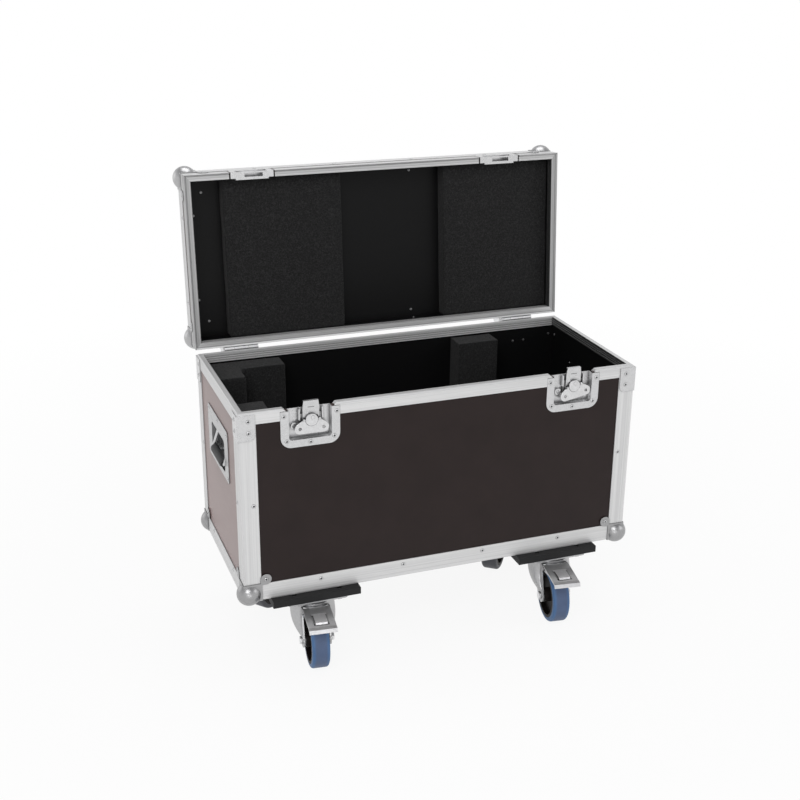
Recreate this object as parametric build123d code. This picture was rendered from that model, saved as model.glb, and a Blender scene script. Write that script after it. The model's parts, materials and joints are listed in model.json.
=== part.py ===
"""Lighting flight case with an open hinged lid, on four swivel castors.

Frame: millimetres, +Z up, X along the length, the front with the two latches
faces -Y. The origin is the middle of the bottom panel's underside.
The lid is modelled closed and then swung open about its hinge line.
"""
from build123d import *
from math import asin, cos, radians, sin
import os

os.makedirs("parts", exist_ok=True)

# Driving dimensions of the case
body_length = 714.0
body_depth = 310.0
body_height = 338.0
lid_height = 60.0
lid_open_angle = 94.4
panel_t = 7.0
edge_leg = 30.0
edge_t = 1.5
edge_round = 1.2
gap = 0.3
overrun = 2.0

# Closing profile round the mouth of the body and of the lid
rim_outer_leg = 20.0
rim_inner_leg = 16.0
rim_inner_t = 2.8
rim_top_t = 3.4
rim_bevel = 3.0
rim_groove_first = 4.2
rim_groove_pitch = 4.0
rim_groove_h = 1.6
rim_groove_depth = 0.9
rim_groove_count = 3

# Corner hardware
ball_r = 21.0
ball_inset = 10.5
ball_wall = 1.6
ball_plate = 31.0
ball_plate_t = 1.2
ball_lobe_at = 38.0
ball_lobe_r = 9.5
brace_w = 28.5
brace_h = 44.0
brace_t = 1.2
brace_round = 9.0

# Recessed latches
latch_from_end = 120.4
latch_flange_w = 100.0
latch_flange_h = 69.0
latch_flange_top = 4.5
latch_flange_round = 18.0
latch_open_w = 72.0
latch_open_h = 56.2
latch_open_round = 5.0
latch_depth = 12.5
latch_sheet = 1.2
latch_draft = 2.0
latch_floor_top = 5.0
latch_rail_cut = 7.0
rotor_dx = 4.8
rotor_drop = 20.8
rotor_shaft_r = 3.5
rotor_fit = 0.06
rotor_disc_r = 10.3
rotor_disc_aside = 1.9
rotor_disc_drop = 4.2
rotor_disc_front = 1.2
rotor_disc_back = 4.6
rotor_cap_r = 3.0
rotor_cap_t = 0.6
rotor_head_r = 6.5
rotor_head_t = 1.5
cam_r = 5.0
cam_throw = 4.0
cam_back = 10.9
cam_slack = 1.5
cam_side_slack = 0.4
right_rotor_turn = 11.0
wing_front = 1.6
wing_t = 2.0
wing_lobe_x = 20.0
wing_lobe_drop = 14.4
wing_lobe_r = 8.8
wing_shoulder_x = 11.5
wing_shoulder_r = 3.6
wing_hole_r = 2.8
wing_notch_clear = 0.5
wing_pin_r = 1.2
wing_pin_fit = 0.07
wing_ear_r = 2.0
wing_ear_in = 10.9
wing_ear_out = 15.0
hook_front = 6.7
hook_t = 2.0
hook_dx = 2.6
hook_w = 28.0
hook_top_w = 25.0
hook_taper_h = 11.0
hook_bead_w = 11.0
hook_bead_h = 1.2
hook_bead_depth = 0.7
hook_rise = 7.6
hook_lip = 2.5
hook_lip_t = 2.0
hook_lean = 3.0
hook_knuckle_r = 2.9
hook_knuckle_w = 29.0
hook_pin_r = 1.5
hook_pin_fit = 0.07
follower_w = 36.0
follower_front = 9.0
follower_t = 1.5
follower_edge = 3.0
follower_lug_w = 3.0
follower_lug_h = 6.4
follower_lug_front = 5.4
guide_t = 2.4
guide_front = 5.5
guide_top_drop = 6.0
guide_h = 19.0
boss_x = -25.0
boss_drop = 35.0
boss_r = 5.8
boss_h = 4.5
boss_dimple_r = 3.2
boss_dimple_depth = 1.2

# Keepers on the lid
keeper_w = 77.0
keeper_h = 29.4
keeper_round = 7.0
keeper_sheet = 1.5
keeper_open_w = 56.0
keeper_ceiling = 20.5
keeper_depth = 14.0
keeper_window_w = 33.0
keeper_window_front = 2.8
keeper_window_back = 9.5
keeper_catch_h = 5.2
keeper_notch = 2.6

# Lid-stay hinges
hinge_from_end = 83.0
hinge_w = 62.0
hinge_leaf_h = 46.0
hinge_leaf_t = 1.5
hinge_leaf_gap = 4.0
hinge_pin_out = 5.0
hinge_pin_r = 2.5
hinge_pin_fit = 0.06
hinge_knuckle_r = 4.4
hinge_mid_w = 26.0
hinge_play = 0.3
hinge_cheek_t = 2.0
hinge_cheek_root = 10.0
hinge_cheek_tip = 34.0
hinge_cheek_play = 0.35

# Recessed bar handles in the end walls
handle_drop = 109.4
handle_flange_w = 151.0
handle_flange_h = 94.0
handle_flange_round = 6.0
handle_open_below = 7.6
handle_open_w = 98.0
handle_open_h = 58.0
handle_open_round = 7.0
handle_depth = 17.0
handle_draft = 4.0
handle_sheet = 1.2
bail_r = 3.5
bail_fit = 0.08
bail_pivot_depth = 12.3
bail_pivot_above = 11.4
bail_arm_in = 6.0
bail_end_out = 6.5
bail_bar_depth = 0.8
bail_bar_below = 24.6
bail_bend = 4.8
grip_r = 7.5
grip_arm_clear = 10.0
grip_end_r = 6.2
grip_end_len = 5.0
grip_fit = 0.02

# Castor boards
board_w = 154.0
board_t = 12.0
board_front = 16.0
board_left_from_end = 122.5
board_right_from_end = 139.0

# Castors
castor_front_in = 43.0
castor_rear_in = 58.5
castor_front_left_aside = 2.0
castor_front_right_aside = 4.0
castor_height = 126.5
castor_plate_x = 105.0
castor_plate_y = 85.0
castor_plate_t = 3.0
castor_plate_round = 6.0
castor_hole_x = 80.0
castor_hole_y = 60.0
castor_bolt_r = 4.0
castor_bolt_clear = 0.2
castor_bolt_head = 6.5
castor_bolt_head_t = 5.0
castor_bolt_short = 4.0
castor_cup_r = 30.0
castor_cup_h = 6.0
castor_cup_round = 2.0
fork_crown_r = 37.0
fork_crown_h = 7.0
fork_sheet = 3.0
fork_gap = 43.0
fork_trail = 36.0
fork_boss_r = 13.0
fork_back_share = 0.62
kingpin_r = 6.0
kingpin_fit = 0.07
kingpin_head_r = 10.0
kingpin_head_t = 6.0
wheel_r = 50.0
wheel_w = 31.0
tread_inner_r = 42.0
tread_round = 5.0
hub_w = 38.0
hub_boss_r = 13.0
hub_web_w = 14.0
hub_rim_t = 5.0
axle_r = 6.0
axle_fit = 0.08
axle_head_r = 6.8
axle_head_t = 4.5
axle_nut_t = 6.0
pedal_w = 47.5
pedal_sheet = 2.0
pedal_root = 39.0
pedal_reach = 105.0
pedal_root_drop = 3.9
pedal_tip_drop = 8.7
pedal_lip = 6.0
pedal_lip_lean = 3.0
pedal_cheek_len = 52.0
pedal_pin_r = 3.0
pedal_pin_fit = 0.07
pedal_pin_t = 1.6
pedal_pin_at = 35.0
pedal_pin_drop = 11.7
pedal_ear_r = 6.5
pedal_cheek_r = 5.2
pedal_window_w = 26.0
pedal_window_len = 34.0
pedal_window_at = 20.0
pedal_tab_rise = 2.5
pedal_tab_share = 0.8
pedal_tab_w = 17.0

# Swivel angles of the castors as they stand in the photo
swivel_front_left = -6.0
swivel_front_right = -8.0
swivel_rear_left = -50.0
swivel_rear_right = -38.0

# Foam blocks in the body and in the lid
foam_top_drop = 18.0
foam_end_w = 59.0
foam_bail_clear = 2.5
foam_back_w = 141.2
foam_back_t = 45.0
foam_right_from_end = 219.6
foam_right_w = 83.0
lid_foam_t = 30.0
lid_foam_left_from_end = 60.5
lid_foam_left_w = 221.0
lid_foam_right_from_end = 217.8

# Places worked out from the sizes above
half_x = body_length / 2
half_y = body_depth / 2
wall_t = edge_t + panel_t
in_x = half_x - wall_t
in_y = half_y - wall_t
base_z = -edge_t
rim_z = base_z + body_height
rim_t = wall_t + rim_inner_t
lid_z = rim_z + gap
lid_top = lid_z + lid_height
hinge_y = half_y + hinge_pin_out
hinge_z = rim_z + gap / 2
front_y = -half_y
latch_x = half_x - latch_from_end
hinge_x = half_x - hinge_from_end
handle_z = rim_z - handle_drop
handle_open_z = handle_z - handle_open_below
bail_pivot_z = handle_z + bail_pivot_above
bail_bar_z = handle_z - bail_bar_below
bail_arm_y = handle_open_w / 2 - bail_arm_in
bail_end_y = handle_open_w / 2 + bail_end_out
foam_seat_half = bail_end_y + foam_bail_clear
grip_len = 2 * (bail_arm_y - grip_arm_clear)
board_left_x = board_left_from_end - half_x
board_right_x = half_x - board_right_from_end
board_front_y = front_y - board_front
board_back_y = board_front_y + body_depth
castor_front_y = board_front_y + castor_front_in
castor_rear_y = board_back_y - castor_rear_in
castor_front_left_x = board_left_x + castor_front_left_aside
castor_front_right_x = board_right_x + castor_front_right_aside
board_z = base_z - board_t
floor_z = board_z - castor_height
axle_z = floor_z + wheel_r
rotor_z = rim_z - rotor_drop
hook_pin_z = rotor_z - cam_throw - cam_r - cam_slack - follower_edge - hook_knuckle_r
hook_pin_depth = hook_front + hook_t / 2
hinge_axis = Axis((0, hinge_y, hinge_z), (1, 0, 0))


# Helpers
def outline(points):
    """A closed outline from its corners, always wound the same way."""
    pairs = zip(points, points[1:] + points[:1])
    area = sum(a[0] * b[1] - b[0] * a[1] for a, b in pairs)
    return Polygon(*(points if area > 0 else points[::-1]), align=None)


def block(x0, x1, y0, y1, z0, z1):
    """A box between two corners."""
    return Pos((x0 + x1) / 2, (y0 + y1) / 2, (z0 + z1) / 2) * Box(x1 - x0, y1 - y0, z1 - z0)


def along_x(points, x0, x1):
    """A (y, z) outline extruded along X."""
    plane = Plane(origin=(x0, 0, 0), x_dir=(0, 1, 0), z_dir=(1, 0, 0))
    return extrude(plane * outline(points), amount=x1 - x0)


def along_z(points, z0, z1):
    """An (x, y) outline extruded along Z."""
    return extrude(Plane.XY.offset(z0) * outline(points), amount=z1 - z0)


def facing_front(y):
    """A plane at y seen from the front: its x is X, its y is Z, its normal -Y."""
    return Plane(origin=(0, y, 0), x_dir=(1, 0, 0), z_dir=(0, -1, 0))


def inward(sketch, y0, y1):
    """A front-view sketch as a solid between the depths y0 and y1."""
    return extrude(facing_front(y1) * sketch, amount=y1 - y0)


def rod_x(x0, x1, y, z, r):
    return extrude(Plane(origin=(x0, y, z), z_dir=(1, 0, 0)) * Circle(r), amount=x1 - x0)


def rod_y(y0, y1, x, z, r):
    return extrude(Plane(origin=(x, y0, z), z_dir=(0, 1, 0)) * Circle(r), amount=y1 - y0)


def rod_z(z0, z1, x, y, r):
    return extrude(Plane.XY.offset(z0) * Pos(x, y) * Circle(r), amount=z1 - z0)


def opened(shape):
    """Swings a piece of the lid from closed to its open rest pose."""
    return shape.rotate(hinge_axis, -lid_open_angle)


def write(name, shapes):
    """Writes one node from one solid or a list of separate solids."""
    shapes = shapes if isinstance(shapes, list) else [shapes]
    solids = [s for shape in shapes for s in shape.solids()]
    export_step(solids[0] if len(solids) == 1 else Compound(children=solids), f"parts/{name}.step")


def four_corners(shape):
    """A piece at the corner (-X, -Y), mirrored to the other three corners."""
    across = mirror(shape, about=Plane.YZ)
    return [shape, across, mirror(shape, about=Plane.XZ), mirror(across, about=Plane.XZ)]


# Mitred rails round the case
def mitred(section, length, width):
    """A rail along X whose outer face is y = 0, mitred at 45 degrees at both ends."""
    half = length / 2
    bar = along_x(section, -half, half)
    plan = [(-half, 0), (half, 0), (half - width, width), (-half + width, width)]
    reach = body_height + lid_height
    return bar & along_z(plan, -reach, reach)


def rail_ring(section, width, z):
    """Front, back, left and right rails of one section."""
    long_rail = mitred(section, body_length, width)
    short_rail = mitred(section, body_depth, width)
    return {
        "front": Pos(0, -half_y, z) * long_rail,
        "back": Pos(0, half_y, z) * Rot(0, 0, 180) * long_rail,
        "left": Pos(-half_x, 0, z) * Rot(0, 0, -90) * short_rail,
        "right": Pos(half_x, 0, z) * Rot(0, 0, 90) * short_rail,
    }


def angle_section(way):
    """The L section of the edging; way is 1 for the bottom edges, -1 for the lid's top."""
    return [
        (0, 0),
        (edge_leg, 0),
        (edge_leg, way * edge_t),
        (edge_t, way * edge_t),
        (edge_t, way * edge_leg),
        (0, way * edge_leg),
    ]


def grooved_face(way):
    """The inner face of a closing profile, from its closing edge to its foot."""
    points = []
    for i in range(rim_groove_count):
        start = rim_groove_first + i * rim_groove_pitch
        end = start + rim_groove_h
        points.append((rim_t, way * start))
        points.append((rim_t - rim_groove_depth, way * start))
        points.append((rim_t - rim_groove_depth, way * end))
        points.append((rim_t, way * end))
    return points


def rim_section(way, male):
    """The closing profile: way -1 hangs below the body's mouth, 1 stands on the lid's."""
    nose = [(0, way * rim_bevel), (rim_bevel, 0)] if male else [(0, -way * rim_bevel), (rim_bevel, 0)]
    return (
        [(0, way * rim_outer_leg)]
        + nose
        + [(rim_t, 0)]
        + grooved_face(way)
        + [
            (rim_t, way * rim_inner_leg),
            (wall_t, way * rim_inner_leg),
            (wall_t, way * rim_top_t),
            (edge_t, way * rim_top_t),
            (edge_t, way * rim_outer_leg),
        ]
    )


# Body: panels
def latch_notch():
    half = latch_open_w / 2 + latch_sheet + gap
    low = rim_z - latch_open_h - latch_sheet - gap
    return block(-half, half, front_y - overrun, -in_y + overrun, low, rim_z + overrun)


def handle_notch():
    half_w = handle_open_w / 2 + handle_sheet + gap
    half_h = handle_open_h / 2 + handle_sheet + gap
    return block(
        -half_x - overrun, -in_x + overrun, -half_w, half_w, handle_open_z - half_h, handle_open_z + half_h
    )


def body_panels():
    top = rim_z - rim_top_t
    skin_x = half_x - edge_t
    skin_y = half_y - edge_t
    front = block(-skin_x, skin_x, -skin_y, -in_y, 0, top)
    for side in (-1, 1):
        front -= Pos(side * latch_x, 0, 0) * latch_notch()
    back = block(-skin_x, skin_x, in_y, skin_y, 0, top)
    left = block(-skin_x, -in_x, -in_y, in_y, 0, top) - handle_notch()
    write("base_front_panel", front)
    write("base_back_panel", back)
    write("base_end_panels", [left, mirror(left, about=Plane.YZ)])
    write("base_bottom_panel", block(-in_x, in_x, -in_y, in_y, 0, panel_t))


# Body: aluminium profiles
def corner_post(z0, z1):
    plan = [
        (-half_x, -half_y),
        (-half_x + edge_leg, -half_y),
        (-half_x + edge_leg, -half_y + edge_t),
        (-half_x + edge_t, -half_y + edge_t),
        (-half_x + edge_t, -half_y + edge_leg),
        (-half_x, -half_y + edge_leg),
    ]
    post = along_z(plan, z0, z1)
    outer = post.edges().filter_by(Axis.Z).sort_by(lambda e: e.center().X + e.center().Y)[0]
    return fillet(outer, edge_round)


def body_edging():
    write("base_bottom_edging", list(rail_ring(angle_section(1), edge_leg, base_z).values()))
    write("base_corner_posts", four_corners(corner_post(base_z + edge_leg, rim_z - rim_outer_leg)))


def cut_at_latches(rail, half_full, half_top, z_out, way):
    """Cuts a front rail at both latches; its web runs on past the outer leg and ends at 45 degrees."""
    far = body_height + lid_height
    low, high = sorted((z_out, z_out + way * far))
    plan = [
        (-half_top, rim_z + way * far),
        (-half_top, rim_z + way * latch_rail_cut),
        (-half_top - latch_rail_cut, rim_z),
        (-half_top - latch_rail_cut, rim_z - way * overrun),
        (half_top + latch_rail_cut, rim_z - way * overrun),
        (half_top + latch_rail_cut, rim_z),
        (half_top, rim_z + way * latch_rail_cut),
        (half_top, rim_z + way * far),
    ]
    web = inward(outline(plan), front_y - overrun, -in_y + rim_inner_t + overrun)
    leg = block(-half_full, half_full, front_y - overrun, front_y + edge_t, low, high)
    for side in (-1, 1):
        rail -= Pos(side * latch_x, 0, 0) * web
        rail -= Pos(side * latch_x, 0, 0) * leg
    return rail


def body_rim():
    ring = rail_ring(rim_section(-1, True), rim_t, rim_z)
    ring["front"] = cut_at_latches(
        ring["front"],
        latch_flange_w / 2 + gap,
        latch_open_w / 2 + latch_sheet + gap,
        rim_z - latch_flange_top + gap,
        -1,
    )
    write("base_rim", list(ring.values()))


# Pressed steel corners
def ball_corner(lobed_base):
    """At the corner (-X, -Y) with the base plane at z = 0: a hollow ball and three plates."""
    at = (-half_x, -half_y, 0)
    centre = Pos(-half_x + ball_inset, -half_y + ball_inset, ball_inset)
    inside = block(-half_x, half_x, -half_y, half_y, 0, body_height)
    plate_at = (ball_plate - ball_plate_t) / 2
    plate_w = ball_plate + ball_plate_t
    plain = Pos(plate_at, plate_at) * Rectangle(plate_w, plate_w)
    neck_at = ball_lobe_at - ball_lobe_r / 2
    lobed = plain + Pos(ball_lobe_at, ball_lobe_at) * Circle(ball_lobe_r)
    lobed += Pos(neck_at, neck_at) * Rectangle(ball_lobe_r, ball_lobe_r)
    view = Plane(origin=at, x_dir=(1, 0, 0), z_dir=(0, -1, 0))
    front = extrude(view * lobed, amount=ball_plate_t)
    base = extrude(view * (lobed if lobed_base else plain), amount=ball_plate_t)
    side = mirror(front, about=Plane(origin=at, z_dir=(1, -1, 0)))
    base = mirror(base, about=Plane(origin=at, z_dir=(0, 1, -1)))
    shell = centre * Sphere(ball_r) - inside + front + side + base
    return shell - centre * Sphere(ball_r - ball_wall)


def corner_brace():
    """Steel angle over the body's upright corner under the mouth, rounded at its foot."""
    z1 = rim_z - rim_bevel
    face = block(0, brace_w, -brace_t, 0, z1 - brace_h, z1)
    foot = face.edges().filter_by(Axis.Y).group_by(Axis.Z)[0].sort_by(Axis.X)
    face = fillet(foot[-1:], brace_round)
    side = mirror(face, about=Plane(origin=(0, 0, 0), z_dir=(1, -1, 0)))
    corner = block(-brace_t, 0, -brace_t, 0, z1 - brace_h, z1)
    return Pos(-half_x, -half_y, 0) * (face + corner + side)


def corner_hardware():
    low = Pos(0, 0, base_z) * ball_corner(False)
    high = Pos(0, 0, lid_top) * mirror(ball_corner(True), about=Plane.XY)
    write("base_ball_corners", four_corners(low))
    write("lid_ball_corners", [opened(c) for c in four_corners(high)])
    write("base_corner_braces", four_corners(corner_brace()))


# Latches
def front_window(width, top, drop, round_r):
    """A front-view rounded rectangle that runs up past the mouth and ends drop below top."""
    height = drop + round_r + overrun
    return Pos(0, top - drop + height / 2) * RectangleRounded(width, height, round_r)


def latch_dish():
    flange_top = rim_z - latch_flange_top
    outline = front_window(latch_flange_w, flange_top, latch_flange_h - latch_flange_top, latch_flange_round)
    flange = inward(outline, front_y, front_y + edge_t)
    wall = 2 * latch_sheet
    outer_sketch = front_window(latch_open_w + wall, rim_z, latch_open_h + latch_sheet, latch_open_round)
    inner_sketch = front_window(latch_open_w, rim_z, latch_open_h, latch_open_round)
    outer = extrude(
        facing_front(front_y) * outer_sketch, amount=-(latch_depth + latch_sheet), taper=latch_draft
    )
    inner = extrude(facing_front(front_y) * inner_sketch, amount=-latch_depth, taper=latch_draft)
    dish = flange + outer - inner
    trim = block(
        -body_length, body_length, front_y - overrun, 0, rim_z - latch_floor_top, rim_z + body_height
    )
    dish -= trim
    floor_y = front_y + latch_depth
    boss_z = rim_z - boss_drop
    dish += rod_y(floor_y - boss_h, floor_y + latch_sheet / 2, boss_x, boss_z, boss_r)
    dish -= rod_y(
        floor_y - boss_h - overrun, floor_y - boss_h + boss_dimple_depth, boss_x, boss_z, boss_dimple_r
    )
    guide_at = follower_w / 2 + gap
    guide_z = rim_z - guide_top_drop
    for side in (-1, 1):
        a, b = sorted((hook_dx + side * guide_at, hook_dx + side * (guide_at + guide_t)))
        dish += block(a, b, front_y + guide_front, floor_y, guide_z - guide_h, guide_z)
    shaft = rotor_shaft_r + rotor_fit
    dish -= rod_y(floor_y - overrun, floor_y + latch_sheet + overrun, rotor_dx, rotor_z, shaft)
    return dish


def latch_rotor(turn):
    """Shaft, front disc with the wing's pins, cam and rear head, turned about the shaft."""
    disc_x = rotor_dx - rotor_disc_aside
    disc_z = rotor_z - rotor_disc_drop
    pin_y = front_y + wing_front + wing_t / 2
    y0 = front_y + rotor_disc_front
    y1 = front_y + rotor_disc_back
    y2 = front_y + cam_back
    back = front_y + latch_depth + latch_sheet + gap
    rotor = rod_y(y0, y1, disc_x, disc_z, rotor_disc_r)
    rotor += rod_y(y0 - rotor_cap_t, y1, rotor_dx, rotor_z, rotor_cap_r)
    rotor += rod_y(y1, y2, rotor_dx, rotor_z - cam_throw, cam_r)
    rotor += rod_y(y2, back + rotor_head_t, rotor_dx, rotor_z, rotor_shaft_r)
    rotor += rod_y(back, back + rotor_head_t, rotor_dx, rotor_z, rotor_head_r)
    rotor += rod_x(disc_x - wing_ear_out, disc_x + wing_ear_out, pin_y, disc_z, wing_pin_r)
    return rotor.rotate(Axis((rotor_dx, 0, rotor_z), (0, -1, 0)), turn)


def latch_wing(turn):
    """The folded butterfly: two holed lobes, a notch round the disc and two pivot ears."""
    disc_x = rotor_dx - rotor_disc_aside
    disc_z = rotor_z - rotor_disc_drop
    notch_r = rotor_disc_r + wing_notch_clear
    rounds = Sketch()
    for side in (-1, 1):
        rounds += Pos(side * wing_lobe_x, -wing_lobe_drop) * Circle(wing_lobe_r)
        rounds += Pos(side * wing_shoulder_x, -wing_shoulder_r / 2) * Circle(wing_shoulder_r)
    plate = make_hull(rounds.edges()) - Circle(notch_r)
    plate -= Pos(0, rotor_disc_r) * Rectangle(2 * notch_r, 2 * rotor_disc_r)
    for side in (-1, 1):
        plate -= Pos(side * wing_lobe_x, -wing_lobe_drop) * Circle(wing_hole_r)
    y0 = front_y + wing_front
    pin_y = y0 + wing_t / 2
    wing = inward(Pos(disc_x, disc_z) * plate, y0, y0 + wing_t)
    for side in (-1, 1):
        a, b = sorted((disc_x + side * wing_ear_in, disc_x + side * wing_ear_out))
        wing += rod_x(a, b, pin_y, disc_z, wing_ear_r)
    reach = wing_ear_out + overrun
    wing -= rod_x(disc_x - reach, disc_x + reach, pin_y, disc_z, wing_pin_r + wing_pin_fit)
    return wing.rotate(Axis((rotor_dx, 0, rotor_z), (0, -1, 0)), turn)


def cam_slot():
    """The window in hook and follower that the cam turns in, in front view."""
    width = 2 * (cam_r + cam_throw + cam_side_slack)
    height = 2 * (cam_r + cam_slack)
    return Pos(rotor_dx, rotor_z - cam_throw) * Rectangle(width, height)


def latch_follower():
    """Guide plate that the cam lifts, with the pin on which the hook tilts."""
    half = follower_w / 2
    inner = half - follower_lug_w
    top = rotor_z - cam_throw + cam_r + cam_slack + follower_edge
    foot = hook_pin_z - follower_lug_h / 2
    notch_top = hook_pin_z + hook_knuckle_r + gap
    notch_foot = foot - overrun
    plate = Pos(hook_dx, (top + foot) / 2) * Rectangle(2 * half, top - foot)
    plate -= cam_slot()
    plate -= Pos(hook_dx, (notch_top + notch_foot) / 2) * Rectangle(2 * inner, notch_top - notch_foot)
    y0 = front_y + follower_front
    body = inward(plate, y0, y0 + follower_t)
    for side in (-1, 1):
        a, b = sorted((hook_dx + side * half, hook_dx + side * inner))
        body += block(a, b, front_y + follower_lug_front, y0, foot, foot + follower_lug_h)
    pin_y = front_y + hook_pin_depth
    return body + rod_x(hook_dx - half, hook_dx + half, pin_y, hook_pin_z, hook_pin_r)


def latch_hook():
    """Hook plate with its lip, leaning outward on the follower's pin."""
    top = rim_z + hook_rise
    half = hook_w / 2
    half_top = hook_top_w / 2
    bead_z = top - hook_taper_h
    y0 = front_y + hook_front
    y1 = y0 + hook_t
    plate = Pos(hook_dx, 0) * outline(
        [
            (-half, hook_pin_z),
            (half, hook_pin_z),
            (half, bead_z),
            (half_top, top),
            (-half_top, top),
            (-half, bead_z),
        ]
    )
    hook = inward(plate - cam_slot(), y0, y1)
    hook += block(hook_dx - half_top, hook_dx + half_top, y1, y1 + hook_lip, top - hook_lip_t, top)
    bead = Pos(hook_dx, bead_z) * SlotOverall(hook_bead_w, hook_bead_h)
    hook -= inward(bead, y0 - overrun, y0 + hook_bead_depth)
    pin_y = front_y + hook_pin_depth
    knuckle = hook_knuckle_w / 2
    hook += rod_x(hook_dx - knuckle, hook_dx + knuckle, pin_y, hook_pin_z, hook_knuckle_r)
    reach = follower_w / 2
    hook -= rod_x(hook_dx - reach, hook_dx + reach, pin_y, hook_pin_z, hook_pin_r + hook_pin_fit)
    return hook.rotate(Axis((0, pin_y, hook_pin_z), (1, 0, 0)), hook_lean)


def latches():
    dish = latch_dish()
    write("latch_dishes", [Pos(side * latch_x, 0, 0) * dish for side in (-1, 1)])
    for name, side, turn in (("left", -1, 0), ("right", 1, right_rotor_turn)):
        place = Pos(side * latch_x, 0, 0)
        write(f"{name}_latch_rotor", place * latch_rotor(turn))
        write(f"{name}_latch_wing", place * latch_wing(turn))
        write(f"{name}_latch_follower", place * latch_follower())
        write(f"{name}_latch_hook", place * latch_hook())


# Handles
def handle_dish():
    """Flanged recess at the left end, built facing the front and turned to face -X."""
    flange_sketch = Pos(0, handle_z) * RectangleRounded(
        handle_flange_w, handle_flange_h, handle_flange_round
    )
    wall = 2 * handle_sheet
    outer_sketch = Pos(0, handle_open_z) * RectangleRounded(
        handle_open_w + wall, handle_open_h + wall, handle_open_round
    )
    inner_sketch = Pos(0, handle_open_z) * RectangleRounded(
        handle_open_w, handle_open_h, handle_open_round
    )
    dish = inward(flange_sketch, 0, edge_t)
    dish += extrude(
        facing_front(0) * outer_sketch, amount=-(handle_depth + handle_sheet), taper=handle_draft
    )
    dish -= extrude(facing_front(0) * inner_sketch, amount=-handle_depth, taper=handle_draft)
    reach = handle_open_w
    dish -= rod_x(-reach, reach, bail_pivot_depth, bail_pivot_z, bail_r + bail_fit)
    return dish


def handle_bail():
    """Bent steel bail: pivot ends, two arms and the bar inside the grip."""
    points = [
        (-bail_end_y, bail_pivot_depth, bail_pivot_z),
        (-bail_arm_y, bail_pivot_depth, bail_pivot_z),
        (-bail_arm_y, bail_bar_depth, bail_bar_z),
        (bail_arm_y, bail_bar_depth, bail_bar_z),
        (bail_arm_y, bail_pivot_depth, bail_pivot_z),
        (bail_end_y, bail_pivot_depth, bail_pivot_z),
    ]
    path = FilletPolyline(*points, radius=bail_bend)
    start = Plane(origin=points[0], z_dir=(1, 0, 0))
    return sweep(start * Circle(bail_r), path=path)


def handle_grip():
    """Moulded grip round the bar, necked down at both ends."""
    half = grip_len / 2
    neck = half + grip_end_len
    side = [(grip_end_r, -neck), (grip_r, -half), (grip_r, half), (grip_end_r, neck)]
    body = revolve(outline([(0, -neck)] + side + [(0, neck)]), axis=Axis.Y)
    grip = Pos(0, bail_bar_depth, bail_bar_z) * Rot(0, 0, 90) * body
    return grip - rod_x(-handle_open_w, handle_open_w, bail_bar_depth, bail_bar_z, bail_r + grip_fit)


def handles():
    place = Pos(-half_x, 0, 0) * Rot(0, 0, -90)
    dish = place * handle_dish()
    write("handle_dishes", [dish, mirror(dish, about=Plane.YZ)])
    for part, shape in (("bail", place * handle_bail()), ("grip", place * handle_grip())):
        write(f"left_handle_{part}", shape)
        write(f"right_handle_{part}", mirror(shape, about=Plane.YZ))


# Castors, built at the origin with the swivel axis on Z, trailing towards -Y
def castor_holes(r, z0, z1):
    spots = [(sx * castor_hole_x / 2, sy * castor_hole_y / 2) for sx in (-1, 1) for sy in (-1, 1)]
    return [rod_z(z0, z1, x, y, r) for x, y in spots]


def castor_plate():
    """Top plate with the upper bearing cup pressed out of it, fixed under the board."""
    sketch = RectangleRounded(castor_plate_x, castor_plate_y, castor_plate_round)
    low = board_z - castor_plate_t
    plate = extrude(Plane.XY.offset(low) * sketch, amount=castor_plate_t)
    cup = rod_z(low - castor_cup_h, low, 0, 0, castor_cup_r)
    cup = fillet(cup.edges().group_by(Axis.Z)[0], castor_cup_round)
    plate += cup
    for hole in castor_holes(castor_bolt_r + castor_bolt_clear, low - overrun, board_z + overrun):
        plate -= hole
    return plate - rod_z(low - castor_cup_h - overrun, board_z + overrun, 0, 0, kingpin_r + kingpin_fit)


def castor_kingpin():
    crown_low = board_z - castor_plate_t - castor_cup_h - gap - fork_sheet
    head_top = crown_low - gap
    pin = rod_z(head_top - kingpin_head_t, board_z, 0, 0, kingpin_r)
    head = extrude(
        Plane.XY.offset(head_top - kingpin_head_t) * RegularPolygon(kingpin_head_r, 6),
        amount=kingpin_head_t,
    )
    return pin + head


def castor_bolts():
    """Hexagon bolts through the plate into the board, ending below its top."""
    low = board_z - castor_plate_t
    bolts = []
    for shank in castor_holes(castor_bolt_r, low, base_z - castor_bolt_short):
        c = shank.center()
        head = extrude(
            Plane.XY.offset(low - castor_bolt_head_t) * Pos(c.X, c.Y) * RegularPolygon(castor_bolt_head, 6),
            amount=castor_bolt_head_t,
        )
        bolts.append(shank + head)
    return bolts


def fork_leg_sketch(crown_low, braked):
    """One fork leg seen from the side, in (trail, z), with an ear where a pedal pivots."""
    back = fork_crown_r * cos(asin((fork_gap / 2 + fork_sheet) / fork_crown_r))
    knee_z = axle_z + (crown_low - axle_z) * (1 - fork_back_share)
    leg = outline(
        [
            (-back, crown_low),
            (back, crown_low),
            (fork_trail + fork_boss_r, axle_z),
            (fork_trail, axle_z - fork_boss_r),
            (fork_trail - fork_boss_r * cos(radians(30)), axle_z - fork_boss_r * sin(radians(30))),
            (-back * sin(radians(10)), knee_z),
            (-back * cos(radians(10)), (crown_low + knee_z) / 2),
        ]
    )
    leg += Pos(fork_trail, axle_z) * Circle(fork_boss_r)
    if braked:
        leg += Pos(pedal_pin_at, crown_low + fork_sheet - pedal_pin_drop) * Circle(pedal_ear_r)
    return leg


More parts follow.
